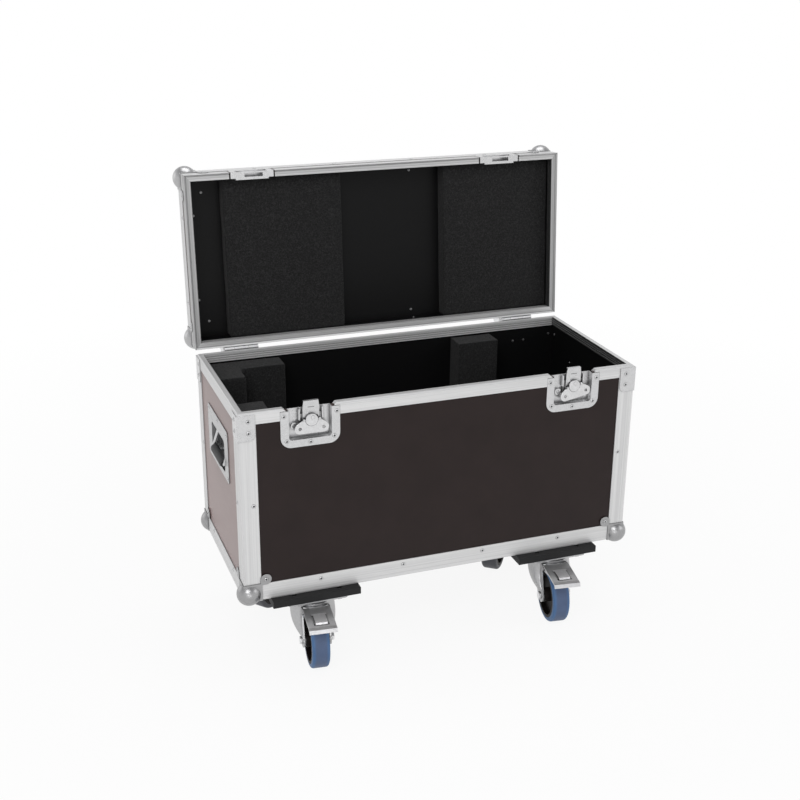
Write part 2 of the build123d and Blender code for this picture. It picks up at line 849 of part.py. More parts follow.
def castor_fork(braked):
    """Crown, two legs and, on a braked castor, the pedal's two pivot pins."""
    top = board_z - castor_plate_t - castor_cup_h - gap
    crown_low = top - fork_sheet
    skirt_low = top - fork_crown_h
    inner = fork_gap / 2
    reach = inner + fork_sheet
    skirt_in = fork_crown_r - fork_sheet
    fork = rod_z(skirt_low, top, 0, 0, fork_crown_r)
    fork -= rod_z(skirt_low - overrun, crown_low, 0, 0, skirt_in)
    leg = fork_leg_sketch(crown_low, braked)
    view = Plane(origin=(0, 0, 0), x_dir=(0, -1, 0), z_dir=(-1, 0, 0))
    for start in (inner, -reach):
        fork += extrude(view.offset(start) * leg, amount=fork_sheet)
    fork -= rod_x(-reach - overrun, reach + overrun, -fork_trail, axle_z, axle_r + axle_fit)
    fork -= rod_z(crown_low - overrun, top + overrun, 0, 0, kingpin_r + kingpin_fit)
    if braked:
        for side in (-1, 1):
            a, b = sorted((side * (inner - pedal_pin_t), side * reach))
            fork += rod_x(a, b, -pedal_pin_at, top - pedal_pin_drop, pedal_pin_r)
    return fork


def castor_axle():
    reach = fork_gap / 2 + fork_sheet
    bolt = rod_x(-reach - axle_head_t, reach + axle_nut_t, -fork_trail, axle_z, axle_r)
    spot = Plane(origin=(-reach - axle_head_t, -fork_trail, axle_z), z_dir=(1, 0, 0))
    bolt += extrude(spot * Circle(axle_head_r), amount=axle_head_t)
    nut = Plane(origin=(reach, -fork_trail, axle_z), z_dir=(1, 0, 0))
    return bolt + extrude(nut * RegularPolygon(axle_head_r, 6), amount=axle_nut_t)


def turned(section):
    """A (radius, offset along the axle) section revolved about the axle."""
    body = revolve(section, axis=Axis.Y)
    return Pos(0, -fork_trail, axle_z) * Rot(0, 0, 90) * body


def wheel_hub():
    half = hub_w / 2
    rim = wheel_w / 2
    web = hub_web_w / 2
    rim_in = tread_inner_r - hub_rim_t
    bore = axle_r + axle_fit
    section = outline(
        [
            (bore, -half),
            (hub_boss_r, -half),
            (hub_boss_r, -web),
            (rim_in, -web),
            (rim_in, -rim),
            (tread_inner_r, -rim),
            (tread_inner_r, rim),
            (rim_in, rim),
            (rim_in, web),
            (hub_boss_r, web),
            (hub_boss_r, half),
            (bore, half),
        ]
    )
    return turned(section)


def wheel_tread():
    """Rubber ring with round shoulders."""
    section = Pos((tread_inner_r + wheel_r) / 2, 0) * Rectangle(wheel_r - tread_inner_r, wheel_w)
    shoulders = section.vertices().group_by(Axis.X)[-1]
    return turned(fillet(shoulders, tread_round))


def brake_pedal():
    """Sheet pedal over the wheel: pad with a raised tab in its window, lip and two long cheeks."""
    top = board_z - castor_plate_t - castor_cup_h - gap
    root_z = top - pedal_root_drop
    tip_z = top - pedal_tip_drop
    pin_z = top - pedal_pin_drop
    half = pedal_w / 2
    slope = (root_z - tip_z) / (pedal_reach - pedal_root)
    pad = [
        (-pedal_root, root_z),
        (-pedal_reach, tip_z),
        (-pedal_reach - pedal_lip_lean, tip_z - pedal_lip),
        (-pedal_reach - pedal_lip_lean + pedal_sheet, tip_z - pedal_lip),
        (-pedal_reach + pedal_sheet, tip_z - pedal_sheet),
        (-pedal_root, root_z - pedal_sheet),
    ]
    pedal = along_x(pad, -half, half)
    at_y = -pedal_root - pedal_window_at
    window = pedal_window_w / 2
    pedal -= block(-window, window, at_y - pedal_window_len, at_y, tip_z - pedal_lip, root_z)
    tab_z = root_z - slope * pedal_window_at
    tab_len = pedal_window_len * pedal_tab_share
    tab_y = at_y - tab_len
    tab_end = tab_z - slope * tab_len
    tab = [
        (at_y + pedal_sheet, tab_z),
        (tab_y, tab_end + pedal_tab_rise),
        (tab_y, tab_end + pedal_tab_rise / 2),
        (at_y + pedal_sheet, tab_z - pedal_sheet / 2),
    ]
    pedal += along_x(tab, -pedal_tab_w / 2, pedal_tab_w / 2)
    inner = fork_gap / 2 - gap
    bore = pedal_pin_r + pedal_pin_fit
    foot_z = pin_z - pedal_cheek_r
    cheek = [
        (-pedal_pin_at + pedal_cheek_r, pin_z + pedal_sheet / 2),
        (-pedal_pin_at + pedal_cheek_r, foot_z),
        (-pedal_pin_at - pedal_cheek_r, foot_z),
        (-pedal_root - pedal_cheek_len, root_z - slope * pedal_cheek_len - pedal_sheet / 2),
        (-pedal_root, root_z - pedal_sheet / 2),
    ]
    for side in (-1, 1):
        a, b = sorted((side * (inner - pedal_sheet), side * inner))
        hole = rod_x(a - overrun, b + overrun, -pedal_pin_at, pin_z, bore)
        pedal += along_x(cheek, a, b) - hole
    return pedal


def castors():
    boards = []
    spots = []
    for x, front_x, front_turn, rear_turn, side in (
        (board_left_x, castor_front_left_x, swivel_front_left, swivel_rear_left, "left"),
        (board_right_x, castor_front_right_x, swivel_front_right, swivel_rear_right, "right"),
    ):
        board = block(x - board_w / 2, x + board_w / 2, board_front_y, board_back_y, board_z, base_z)
        for hole_x, y in ((front_x, castor_front_y), (x, castor_rear_y)):
            for hole in castor_holes(castor_bolt_r + castor_bolt_clear, board_z - overrun, base_z + overrun):
                board -= Pos(hole_x, y, 0) * hole
        boards.append(board)
        spots.append((f"front_{side}", front_x, castor_front_y, front_turn, True))
        spots.append((f"rear_{side}", x, castor_rear_y, rear_turn, False))
    write("castor_boards", boards)
    write("castor_plates", [Pos(x, y, 0) * castor_plate() for _, x, y, _, _ in spots])
    write("castor_kingpins", [Pos(x, y, 0) * castor_kingpin() for _, x, y, _, _ in spots])
    bolts = [Pos(x, y, 0) * bolt for _, x, y, _, _ in spots for bolt in castor_bolts()]
    write("castor_bolts", bolts)
    for name, x, y, turn, braked in spots:
        place = Pos(x, y, 0) * Rot(0, 0, turn)
        write(f"{name}_fork", place * castor_fork(braked))
        write(f"{name}_axle", place * castor_axle())
        write(f"{name}_wheel_hub", place * wheel_hub())
        write(f"{name}_wheel_tread", place * wheel_tread())
        if braked:
            write(f"{name}_brake_pedal", place * brake_pedal())


# Lid: panels, profiles, keepers
def keeper_notch_in_panel():
    half = keeper_open_w / 2 + keeper_sheet + gap
    high = lid_z + keeper_ceiling + gap
    return block(-half, half, front_y - overrun, -in_y + overrun, lid_z - rim_bevel, high)


def lid_panels():
    low = lid_z + rim_top_t
    skin_x = half_x - edge_t
    skin_y = half_y - edge_t
    roof = lid_top - wall_t
    front = block(-skin_x, skin_x, -skin_y, -in_y, low, lid_top - edge_t)
    for side in (-1, 1):
        front -= Pos(side * latch_x, 0, 0) * keeper_notch_in_panel()
    back = block(-skin_x, skin_x, in_y, skin_y, low, lid_top - edge_t)
    left = block(-skin_x, -in_x, -in_y, in_y, low, lid_top - edge_t)
    walls = [front, back, left, mirror(left, about=Plane.YZ)]
    write("lid_wall_panels", [opened(w) for w in walls])
    write("lid_top_panel", opened(block(-in_x, in_x, -in_y, in_y, roof, lid_top - edge_t)))


def lid_profiles():
    rails = list(rail_ring(angle_section(-1), edge_leg, lid_top).values())
    posts = four_corners(corner_post(lid_z + rim_outer_leg, lid_top - edge_leg))
    write("lid_edging", [opened(r) for r in rails + posts])
    ring = rail_ring(rim_section(1, False), rim_t, lid_z)
    half = keeper_w / 2 + keeper_notch
    high = lid_z + rim_outer_leg + overrun
    cut = block(-half, half, front_y - overrun, 0, lid_z - rim_bevel - overrun, high)
    for side in (-1, 1):
        ring["front"] -= Pos(side * latch_x, 0, 0) * cut
    write("lid_rim", [opened(r) for r in ring.values()])


def keeper():
    """Folded keeper dish: flange on the lid's front, bottom leaf with the hook's window, pocket."""
    outline = Pos(0, lid_z + keeper_h / 2 - keeper_round / 2) * RectangleRounded(
        keeper_w, keeper_h + keeper_round, keeper_round
    )
    flange = inward(outline, front_y, front_y + keeper_sheet)
    flange -= block(
        -keeper_w, keeper_w, front_y - overrun, 0, lid_z - keeper_h, lid_z
    )
    half_open = keeper_open_w / 2
    ceiling = lid_z + keeper_ceiling
    back = front_y + keeper_depth
    pocket = block(-half_open - keeper_sheet, half_open + keeper_sheet, front_y, back, lid_z, ceiling)
    hollow = block(
        -half_open,
        half_open,
        front_y - overrun,
        back - keeper_sheet,
        lid_z + keeper_sheet,
        ceiling - keeper_sheet,
    )
    leaf = block(-keeper_w / 2, keeper_w / 2, front_y, front_y + rim_t, lid_z, lid_z + keeper_sheet)
    body = flange + pocket + leaf - hollow
    half_window = keeper_window_w / 2
    body -= block(
        hook_dx - half_window,
        hook_dx + half_window,
        front_y + keeper_window_front,
        front_y + keeper_window_back,
        lid_z - overrun,
        lid_z + keeper_sheet + overrun,
    )
    catch_y = front_y + keeper_window_back
    body += block(
        hook_dx - half_window,
        hook_dx + half_window,
        catch_y,
        catch_y + keeper_sheet,
        lid_z,
        lid_z + keeper_catch_h,
    )
    return body


# Hinges
def stay_angle():
    """Half the angle between the two leaves when the lid stands open."""
    return (180 - lid_open_angle) / 2


def hinge_leaf(way, x_spans):
    """A leaf outside the back wall: way -1 on the body, 1 on the lid, cheeks meet when open."""
    y0 = half_y
    y1 = half_y + hinge_leaf_t
    z0, z1 = sorted((hinge_z + way * hinge_leaf_gap, hinge_z + way * (hinge_leaf_gap + hinge_leaf_h)))
    half = hinge_w / 2
    leaf = block(-half, half, y0, y1, z0, z1)
    root = hinge_knuckle_r * cos(radians(45))
    for a, b in x_spans:
        leaf += rod_x(a, b, hinge_y, hinge_z, hinge_knuckle_r)
        low, high = sorted((hinge_z, hinge_z + way * (hinge_leaf_gap + hinge_leaf_t)))
        leaf += block(a, b, hinge_y - hinge_knuckle_r, hinge_y - hinge_knuckle_r + root, low, high)
    beta = radians(stay_angle())
    edge = (sin(beta), way * cos(beta))
    inset = (cos(beta) * hinge_cheek_play / 2, way * sin(beta) * hinge_cheek_play / 2)
    cheek = [
        (y0 + hinge_leaf_t / 2, hinge_z + way * hinge_cheek_root),
        (y0 + hinge_leaf_t / 2, hinge_z + way * hinge_leaf_h),
        (
            hinge_y + hinge_cheek_tip * edge[0] - inset[0],
            hinge_z + hinge_cheek_tip * edge[1] + inset[1],
        ),
        (
            hinge_y + hinge_cheek_root * edge[0] - inset[0],
            hinge_z + hinge_cheek_root * edge[1] + inset[1],
        ),
    ]
    for side in (-1, 1):
        a, b = sorted((side * half, side * (half - hinge_cheek_t)))
        leaf += along_x(cheek, a, b)
    return leaf - rod_x(-hinge_w, hinge_w, hinge_y, hinge_z, hinge_pin_r + hinge_pin_fit)


def hinges():
    half = hinge_w / 2
    mid = hinge_mid_w / 2
    outer = [(-half, -mid - hinge_play), (mid + hinge_play, half)]
    body_leaf = hinge_leaf(-1, outer)
    lid_leaf = opened(hinge_leaf(1, [(-mid, mid)]))
    pin = rod_x(-half - hinge_play, half + hinge_play, hinge_y, hinge_z, hinge_pin_r)
    spots = [Pos(side * hinge_x, 0, 0) for side in (-1, 1)]
    write("hinge_body_leaves", [p * body_leaf for p in spots])
    write("hinge_lid_leaves", [p * lid_leaf for p in spots])
    write("hinge_pins", [p * pin for p in spots])


# Foam
def foam_blocks():
    """Foam posts in the body and pads under the lid's top, clear of the panels round them."""
    x0 = -in_x + gap
    y1 = in_y - gap
    z0 = panel_t + gap
    z1 = rim_z - foam_top_drop
    end = x0 + foam_end_w
    seat = foam_seat_half
    plan = [
        (x0, seat),
        (end, seat),
        (end, y1 - foam_back_t),
        (x0 + foam_back_w, y1 - foam_back_t),
        (x0 + foam_back_w, y1),
        (x0, y1),
    ]
    write("foam_back_left", along_z(plan, z0, z1))
    write("foam_front_left", block(x0, end, -y1, -seat, z0, z1))
    right = in_x - foam_right_from_end
    write("foam_back_right", block(right, right + foam_right_w, y1 - foam_back_t, y1, z0, z1))
    roof = lid_top - wall_t - gap
    left = lid_foam_left_from_end - in_x
    pads = {
        "foam_lid_left": (left, left + lid_foam_left_w),
        "foam_lid_right": (in_x - lid_foam_right_from_end, in_x - gap),
    }
    for name, (a, b) in pads.items():
        write(name, opened(block(a, b, -y1, y1, roof - lid_foam_t, roof)))


body_panels()
body_edging()
body_rim()
corner_hardware()
latches()
handles()
castors()
lid_panels()
lid_profiles()
write("lid_keepers", [opened(Pos(side * latch_x, 0, 0) * keeper()) for side in (-1, 1)])
hinges()
foam_blocks()
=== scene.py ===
import json
import math
import random

import bmesh
import bpy
from mathutils import Matrix, Vector, noise
from mathutils.bvhtree import BVHTree

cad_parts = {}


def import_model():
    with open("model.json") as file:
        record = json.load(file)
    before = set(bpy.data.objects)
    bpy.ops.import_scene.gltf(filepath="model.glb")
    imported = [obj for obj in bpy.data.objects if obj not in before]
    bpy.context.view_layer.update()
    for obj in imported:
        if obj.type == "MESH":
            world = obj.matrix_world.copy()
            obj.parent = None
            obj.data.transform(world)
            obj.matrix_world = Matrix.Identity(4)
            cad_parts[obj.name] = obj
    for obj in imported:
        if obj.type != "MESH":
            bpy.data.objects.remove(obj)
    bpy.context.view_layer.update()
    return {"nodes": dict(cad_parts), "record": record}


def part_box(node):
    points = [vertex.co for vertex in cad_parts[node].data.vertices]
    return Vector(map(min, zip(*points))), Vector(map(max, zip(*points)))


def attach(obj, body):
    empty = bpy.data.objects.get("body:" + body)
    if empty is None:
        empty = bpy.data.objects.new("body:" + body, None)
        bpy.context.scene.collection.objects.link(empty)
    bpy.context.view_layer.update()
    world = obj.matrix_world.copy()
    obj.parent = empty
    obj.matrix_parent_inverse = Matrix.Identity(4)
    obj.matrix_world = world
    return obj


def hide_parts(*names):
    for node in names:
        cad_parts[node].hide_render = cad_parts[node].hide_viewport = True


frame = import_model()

NODES = frame["nodes"]
BODIES = frame["record"]["behaviour"]["bodies"]
MM = 0.001

# Sizes shared with the construction, in mm
HALF_X = 357.0
HALF_Y = 155.0
BASE_Z = -1.5
RIM_Z = 336.5
LID_TOP = 396.8
WALL = 8.5
PLY = 7.0
GAP = 0.3
FLOOR_Z = -140.0
LATCH_X = 236.6
HINGE_X = 274.0
HINGE_Y = 160.0
HINGE_Z = 336.65
LID_ANGLE = math.radians(94.4)


def opened(p):
    """A point of the closed lid, in mm, where it is with the lid open."""
    y, z = p[1] - HINGE_Y, p[2] - HINGE_Z
    c, s = math.cos(LID_ANGLE), math.sin(LID_ANGLE)
    return Vector((p[0], HINGE_Y + y * c + z * s, HINGE_Z - y * s + z * c))


def opened_way(v):
    """A direction on the closed lid as it points with the lid open."""
    c, s = math.cos(LID_ANGLE), math.sin(LID_ANGLE)
    return Vector((v[0], v[1] * c + v[2] * s, -v[1] * s + v[2] * c))


# Points inside the case and the lid, in metres, that tell a panel's inner faces from its outer ones
CASE_CENTRE = Vector((0.0, 0.0, 0.17))
LID_CENTRE = opened((0, 0, (RIM_Z + LID_TOP) / 2)) * MM

# Castors: (x, y) of the kingpin in mm and the swivel angle they stand at
CASTORS = {"front_left": (-232.5, -128.0, -6.0), "front_right": (222.0, -128.0, -8.0),
           "rear_left": (-234.5, 80.5, -50.0), "rear_right": (218.0, 80.5, -38.0)}

# Sizes in a castor's own frame, in mm
AXLE_Z = -90.0
FORK_TRAIL = 36.0
FORK_REACH = 24.5
CROWN_R = 37.0
CROWN_LOW = -29.8
PEDAL_ROOT = -39.0
PEDAL_LIP = -101.0
PEDAL_TOP = -26.7
PEDAL_SLOPE = 0.0727


def castor_point(castor, x, y, z):
    """A point given in a castor's own frame, in mm, as a place in metres."""
    at_x, at_y, turn = castor
    c, s = math.cos(math.radians(turn)), math.sin(math.radians(turn))
    return Vector((at_x + x * c - y * s, at_y + x * s + y * c, z)) * MM


# Shader nodes. The Mix node's sockets go by number, since several share a name
MIX_FACTOR = 0
MIX_VECTOR_A, MIX_VECTOR_B, MIX_VECTOR_OUT = 4, 5, 1
MIX_COLOUR_A, MIX_COLOUR_B, MIX_COLOUR_OUT = 6, 7, 2


def put(tree, kind, inputs=None, **settings):
    """A shader node with its settings, values and links."""
    n = tree.nodes.new(kind)
    for k, v in settings.items():
        setattr(n, k, v)
    for k, v in (inputs or {}).items():
        if isinstance(v, bpy.types.NodeSocket):
            tree.links.new(v, n.inputs[k])
        else:
            n.inputs[k].default_value = v
    return n


def math_of(tree, how, a, b=0.0, c=0.0):
    return put(tree, "ShaderNodeMath", {0: a, 1: b, 2: c}, operation=how).outputs[0]


def times(tree, a, b):
    """Two colours multiplied channel by channel."""
    return put(tree, "ShaderNodeVectorMath", {0: a, 1: b}, operation="MULTIPLY").outputs[0]


def scaled(tree, colour, share):
    return put(tree, "ShaderNodeVectorMath", {0: colour, "Scale": share}, operation="SCALE").outputs[0]


def along_way(tree, place, start, way):
    """How far a place lies from start along a way."""
    off = put(tree, "ShaderNodeVectorMath", {0: place, 1: start}, operation="SUBTRACT").outputs[0]
    dot = put(tree, "ShaderNodeVectorMath", {0: off, 1: way}, operation="DOT_PRODUCT")
    return dot.outputs["Value"]


def span(tree, value, low, high, least=0.0):
    """A number that goes from least to 1 while value goes from low to high."""
    return put(tree, "ShaderNodeMapRange", {"Value": value, "From Min": low, "From Max": high,
                                            "To Min": least, "To Max": 1.0}).outputs[0]


def ramp(tree, fac, *stops):
    """The colour at fac between stops of (position, colour)."""
    n = put(tree, "ShaderNodeValToRGB", {"Fac": fac})
    e = n.color_ramp.elements
    while len(e) < len(stops):
        e.new(0.5)
    for i, (at, colour) in enumerate(stops):
        e[i].position = at
        e[i].color = (*colour, 1.0)
    return n.outputs["Color"]


def grey_ramp(tree, fac, tones):
    return ramp(tree, fac, *[(at, (tone, tone, tone)) for at, tone in tones])


def mix_colour(tree, fac, a, b):
    """Colour a where fac is 0 and colour b where it is 1."""
    a, b = (v if isinstance(v, bpy.types.NodeSocket) else (*v, 1.0) for v in (a, b))
    return put(tree, "ShaderNodeMix", {MIX_FACTOR: fac, MIX_COLOUR_A: a, MIX_COLOUR_B: b},
               data_type="RGBA").outputs[MIX_COLOUR_OUT]


def noise_of(tree, vector, scale, detail, roughness):
    return put(tree, "ShaderNodeTexNoise", {"Vector": vector, "Scale": scale, "Detail": detail,
                                            "Roughness": roughness}).outputs["Fac"]


def cells_of(tree, vector, scale, feature="F1"):
    return put(tree, "ShaderNodeTexVoronoi", {"Vector": vector, "Scale": scale, "Randomness": 1.0},
               feature=feature).outputs["Distance"]


def stretched(tree, vector, scale):
    return put(tree, "ShaderNodeMapping", {"Vector": vector, "Scale": scale}).outputs[0]


def bump(tree, height, distance, strength, normal=None):
    inputs = {"Height": height, "Distance": distance, "Strength": strength}
    if normal is not None:
        inputs["Normal"] = normal
    return put(tree, "ShaderNodeBump", inputs).outputs[0]


def soft_edge(tree, radius):
    """Normals rounded over sharp edges, as on sheet metal and sanded ply."""
    return put(tree, "ShaderNodeBevel", {"Radius": radius}, samples=4).outputs[0]


def painted_crevice_shade(tree, colour, reach, least):
    """A colour with painted shade in corners and grooves narrower than reach, in metres."""
    open_share = put(tree, "ShaderNodeAmbientOcclusion", {"Distance": reach}, samples=6).outputs["AO"]
    return scaled(tree, colour, span(tree, open_share, 0.30, 0.95, least))


def new_look(name, **sockets):
    """A new material, its node tree and the place on the object that its patterns follow."""
    m = bpy.data.materials.new(name)
    m.use_nodes = True
    bsdf = m.node_tree.nodes["Principled BSDF"]
    for k, v in sockets.items():
        bsdf.inputs[k.replace("_", " ")].default_value = v
    return m, m.node_tree, put(m.node_tree, "ShaderNodeTexCoord").outputs["Object"]


def finish_look(m, colour, roughness, normal):
    """The material with what drives its colour, gloss and relief."""
    bsdf = m.node_tree.nodes["Principled BSDF"]
    for key, socket in (("Base Color", colour), ("Roughness", roughness), ("Normal", normal)):
        m.node_tree.links.new(socket, bsdf.inputs[key])
    return m


# Looks. Depths of relief and radii of soft edges are in metres
FINE_RELIEF = 0.00004
EDGE_RADIUS = 0.0004
METAL_EDGE = 0.0005
RIVET_EDGE = 0.0002


def film_look(name):
    """Brown film-faced ply, scuffed by use."""
    m, t, v = new_look(name, Specular_IOR_Level=0.05, Coat_Weight=1.0, Coat_Roughness=0.32, Coat_IOR=1.22,
                       Sheen_Weight=0.48, Sheen_Roughness=0.35, Sheen_Tint=(1.0, 0.71, 0.68, 1.0))
    cloud = noise_of(t, v, 14.0, 5.0, 0.6)
    fibre = noise_of(t, v, 900.0, 3.0, 0.7)
    rub = noise_of(t, stretched(t, v, (3.0, 3.0, 22.0)), 9.0, 6.0, 0.65)
    brown = ramp(t, cloud, (0.30, (0.0140, 0.0088, 0.0085)), (0.72, (0.0195, 0.0125, 0.0120)))
    brown = mix_colour(t, math_of(t, "MULTIPLY", fibre, 0.35), brown, (0.024, 0.016, 0.015))
    rough = math_of(t, "MULTIPLY_ADD", rub, 0.16, 0.30)
    return finish_look(m, brown, rough, bump(t, fibre, FINE_RELIEF, 0.5, soft_edge(t, EDGE_RADIUS)))


def lining_look(name):
    """The black inner face of the same ply."""
    m, t, v = new_look(name, Specular_IOR_Level=0.05, Coat_Weight=0.60, Coat_Roughness=0.32, Coat_IOR=1.22)
    fibre = noise_of(t, v, 900.0, 3.0, 0.7)
    black = ramp(t, fibre, (0.30, (0.0030, 0.0030, 0.0032)), (0.75, (0.0080, 0.0080, 0.0084)))
    rough = math_of(t, "MULTIPLY_ADD", fibre, 0.12, 0.42)
    return finish_look(m, black, rough, bump(t, fibre, FINE_RELIEF, 0.5, soft_edge(t, EDGE_RADIUS)))


# A rim's face in mm: its width, where its inner edge begins and the pitch of the ribs inside
RIM_FACE = 12.0
RIM_INNER = 10.8
RIB_PITCH = 2.6

# Painted light and shade across a rim's face, against the distance from its outer side, as shares of its
# width: bright lines and dark bands for the light on the profile's steps and grooves
RIM_SHADE_TONES = ((0.00, 1.0), (0.20, 1.0), (0.23, 0.40), (0.30, 0.42), (0.33, 0.78), (0.68, 0.70), (0.71, 1.0),
             (0.78, 1.0), (0.81, 0.55), (0.88, 0.80), (1.00, 0.80))

# Scales of the lines in drawn aluminium, across its run and along it
LINE_ACROSS, LINE_ALONG = 1500.0, 6.0
ALONG_X = (LINE_ALONG, LINE_ACROSS, LINE_ACROSS)
ALONG_Y = (LINE_ACROSS, LINE_ALONG, LINE_ACROSS)
ALONG_Z = (LINE_ACROSS, LINE_ACROSS, LINE_ALONG)


def aluminium_look(name, ring=True, lid=False, rim=False):
    """Mill-finish extrusion with fine lines along its run, upright or as a ring round the case, with
    painted shade in its corners and, on a rim, painted light and shade across its face.
    """
    m, t, v = new_look(name, Metallic=0.50)
    if lid:
        v = put(t, "ShaderNodeVectorRotate",
                {"Vector": v, "Center": (0, HINGE_Y * MM, HINGE_Z * MM), "Angle": LID_ANGLE},
                rotation_type="X_AXIS").outputs[0]
    if ring:
        xyz = put(t, "ShaderNodeSeparateXYZ", {0: v})
        from_end = math_of(t, "SUBTRACT", HALF_X * MM, math_of(t, "ABSOLUTE", xyz.outputs[0]))
        from_side = math_of(t, "SUBTRACT", HALF_Y * MM, math_of(t, "ABSOLUTE", xyz.outputs[1]))
        on_side = math_of(t, "LESS_THAN", from_side, from_end)
        lines_at = put(t, "ShaderNodeMix", {MIX_FACTOR: on_side, MIX_VECTOR_A: stretched(t, v, ALONG_Y),
                                            MIX_VECTOR_B: stretched(t, v, ALONG_X)},
                       data_type="VECTOR").outputs[MIX_VECTOR_OUT]
    else:
        lines_at = stretched(t, v, ALONG_Z)
    lines = noise_of(t, lines_at, 1.0, 3.0, 0.6)
    bands = noise_of(t, lines_at, 0.16, 2.0, 0.5)
    haze = noise_of(t, v, 18.0, 4.0, 0.6)
    colour = ramp(t, math_of(t, "MULTIPLY_ADD", lines, 0.5, math_of(t, "MULTIPLY", bands, 0.5)),
                  (0.30, (0.54, 0.54, 0.545)), (0.62, (0.72, 0.72, 0.72)))
    if rim:
        # Painted shade and highlights across the rim's face, stronger on the lid rim.
        near = math_of(t, "MULTIPLY", math_of(t, "MINIMUM", from_end, from_side), 1.0 / (RIM_FACE * MM))
        face = mix_colour(t, 0.85 if lid else 0.30, (1, 1, 1), grey_ramp(t, near, RIM_SHADE_TONES))
        # Painted shade: the lid rim's ends darker than its sides.
        if lid:
            face = times(t, face, mix_colour(t, on_side, (0.68, 0.68, 0.68), (0.95, 0.95, 0.95)))
        # Painted light and shade on the rim's inner leg: much darker on the ends, a little lighter on the
        # sides, with painted shading along its ribs.
        ribs = math_of(t, "SINE", math_of(t, "MULTIPLY", xyz.outputs[2], 2 * math.pi / (RIB_PITCH * MM)))
        inner = math_of(t, "GREATER_THAN", near, RIM_INNER / RIM_FACE)
        depth = math_of(t, "MULTIPLY_ADD", on_side, -1.0, math_of(t, "MULTIPLY_ADD", ribs, 0.08, 0.88))
        inner_leg_shade = math_of(t, "SUBTRACT", 1.0, math_of(t, "MULTIPLY", inner, depth))
        colour = scaled(t, times(t, colour, face), inner_leg_shade)
    # Painted shade in the extrusion's corners and grooves.
    colour = painted_crevice_shade(t, colour, 0.004, 0.30)
    rough = math_of(t, "ADD", math_of(t, "MULTIPLY_ADD", lines, 0.10, 0.36),
                    math_of(t, "MULTIPLY", haze, 0.06))
    height = math_of(t, "ADD", lines, math_of(t, "MULTIPLY", bands, 1.5))
    return finish_look(m, colour, rough, bump(t, height, FINE_RELIEF, 0.30, soft_edge(t, METAL_EDGE)))


# Painted shade and highlight along a brake pedal, from its root at 0 to its lip at 1: darker towards the
# root, a painted highlight and a dark line near the lip
PEDAL_SHADE_TONES = ((0.0, 0.68), (0.45, 0.66), (0.80, 0.95), (0.92, 1.0), (0.95, 0.78), (1.0, 0.78))


def zinc_look(name, tone=0.62, rough_from=0.20, edge=METAL_EDGE, pedal_of=None):
    """Bright zinc-plated steel with its faint crystal pattern and handling haze, painted shade in its
    corners and, on a pedal, painted shade and a painted highlight along its length.
    """
    m, t, v = new_look(name, Metallic=0.88)
    cells = cells_of(t, v, 260.0, "SMOOTH_F1")
    haze = noise_of(t, v, 45.0, 5.0, 0.65)
    fine = noise_of(t, v, 1300.0, 2.0, 0.6)
    grey = math_of(t, "MULTIPLY_ADD", cells, 0.35, math_of(t, "MULTIPLY", haze, 0.65))
    lo, hi = tone * 0.93, tone * 1.06
    colour = ramp(t, grey, (0.28, (lo, lo, lo * 1.01)), (0.66, (hi, hi, hi * 1.01)))
    # Painted shade and highlight along the pedal.
    if pedal_of:
        root = castor_point(pedal_of, 0, PEDAL_ROOT, 0)
        run = castor_point(pedal_of, 0, PEDAL_LIP, 0) - root
        share = along_way(t, v, root, run / run.length_squared)
        colour = times(t, colour, grey_ramp(t, share, PEDAL_SHADE_TONES))
    # Painted shade in the steel's corners and recesses.
    colour = painted_crevice_shade(t, colour, 0.006, 0.22)
    rough = math_of(t, "ADD", math_of(t, "MULTIPLY_ADD", haze, 0.10, rough_from),
                    math_of(t, "MULTIPLY", fine, 0.06))
    height = math_of(t, "ADD", math_of(t, "MULTIPLY", haze, 0.8), math_of(t, "MULTIPLY", fine, 0.2))
    return finish_look(m, colour, rough, bump(t, height, FINE_RELIEF, 0.30, soft_edge(t, edge)))


def plain_look(name, dark, light, rough_from, rough_more, scale, depth, **sockets):
    """A moulded or painted surface: two close tones, grain and an uneven gloss."""
    m, t, v = new_look(name, **sockets)
    cloud = noise_of(t, v, scale / 18.0, 5.0, 0.6)
    grain = noise_of(t, v, scale, 3.0, 0.65)
    both = math_of(t, "MULTIPLY_ADD", grain, 0.45, math_of(t, "MULTIPLY", cloud, 0.55))
    colour = ramp(t, both, (0.32, dark), (0.68, light))
    rough = math_of(t, "MULTIPLY_ADD", cloud, rough_more, rough_from)
    return finish_look(m, colour, rough, bump(t, grain, depth, 0.6, soft_edge(t, EDGE_RADIUS)))


# Where a tyre's running face turns into its flanks, in metres from its middle
FACE_END, FLANK_START = 0.0082, 0.0128


def tread_look(name, castor):
    """Rubber tyre: running face worn greyer than its bright blue shoulders and flanks."""
    m, t, v = new_look(name)
    centre = castor_point(castor, 0, -FORK_TRAIL, AXLE_Z)
    axle_way = (castor_point(castor, 1, -FORK_TRAIL, AXLE_Z) - centre).normalized()
    from_middle = math_of(t, "ABSOLUTE", along_way(t, v, centre, axle_way))
    flank = span(t, from_middle, FACE_END, FLANK_START)
    cloud = noise_of(t, v, 40.0, 5.0, 0.6)
    grain = noise_of(t, v, 500.0, 3.0, 0.65)
    worn = ramp(t, cloud, (0.32, (0.058, 0.091, 0.176)), (0.68, (0.073, 0.113, 0.212)))
    fresh = ramp(t, cloud, (0.32, (0.046, 0.120, 0.265)), (0.68, (0.058, 0.145, 0.310)))
    rough = math_of(t, "MULTIPLY_ADD", cloud, 0.16, 0.42)
    return finish_look(m, mix_colour(t, flank, worn, fresh), rough,
                       bump(t, grain, 0.00006, 0.6, soft_edge(t, EDGE_RADIUS)))


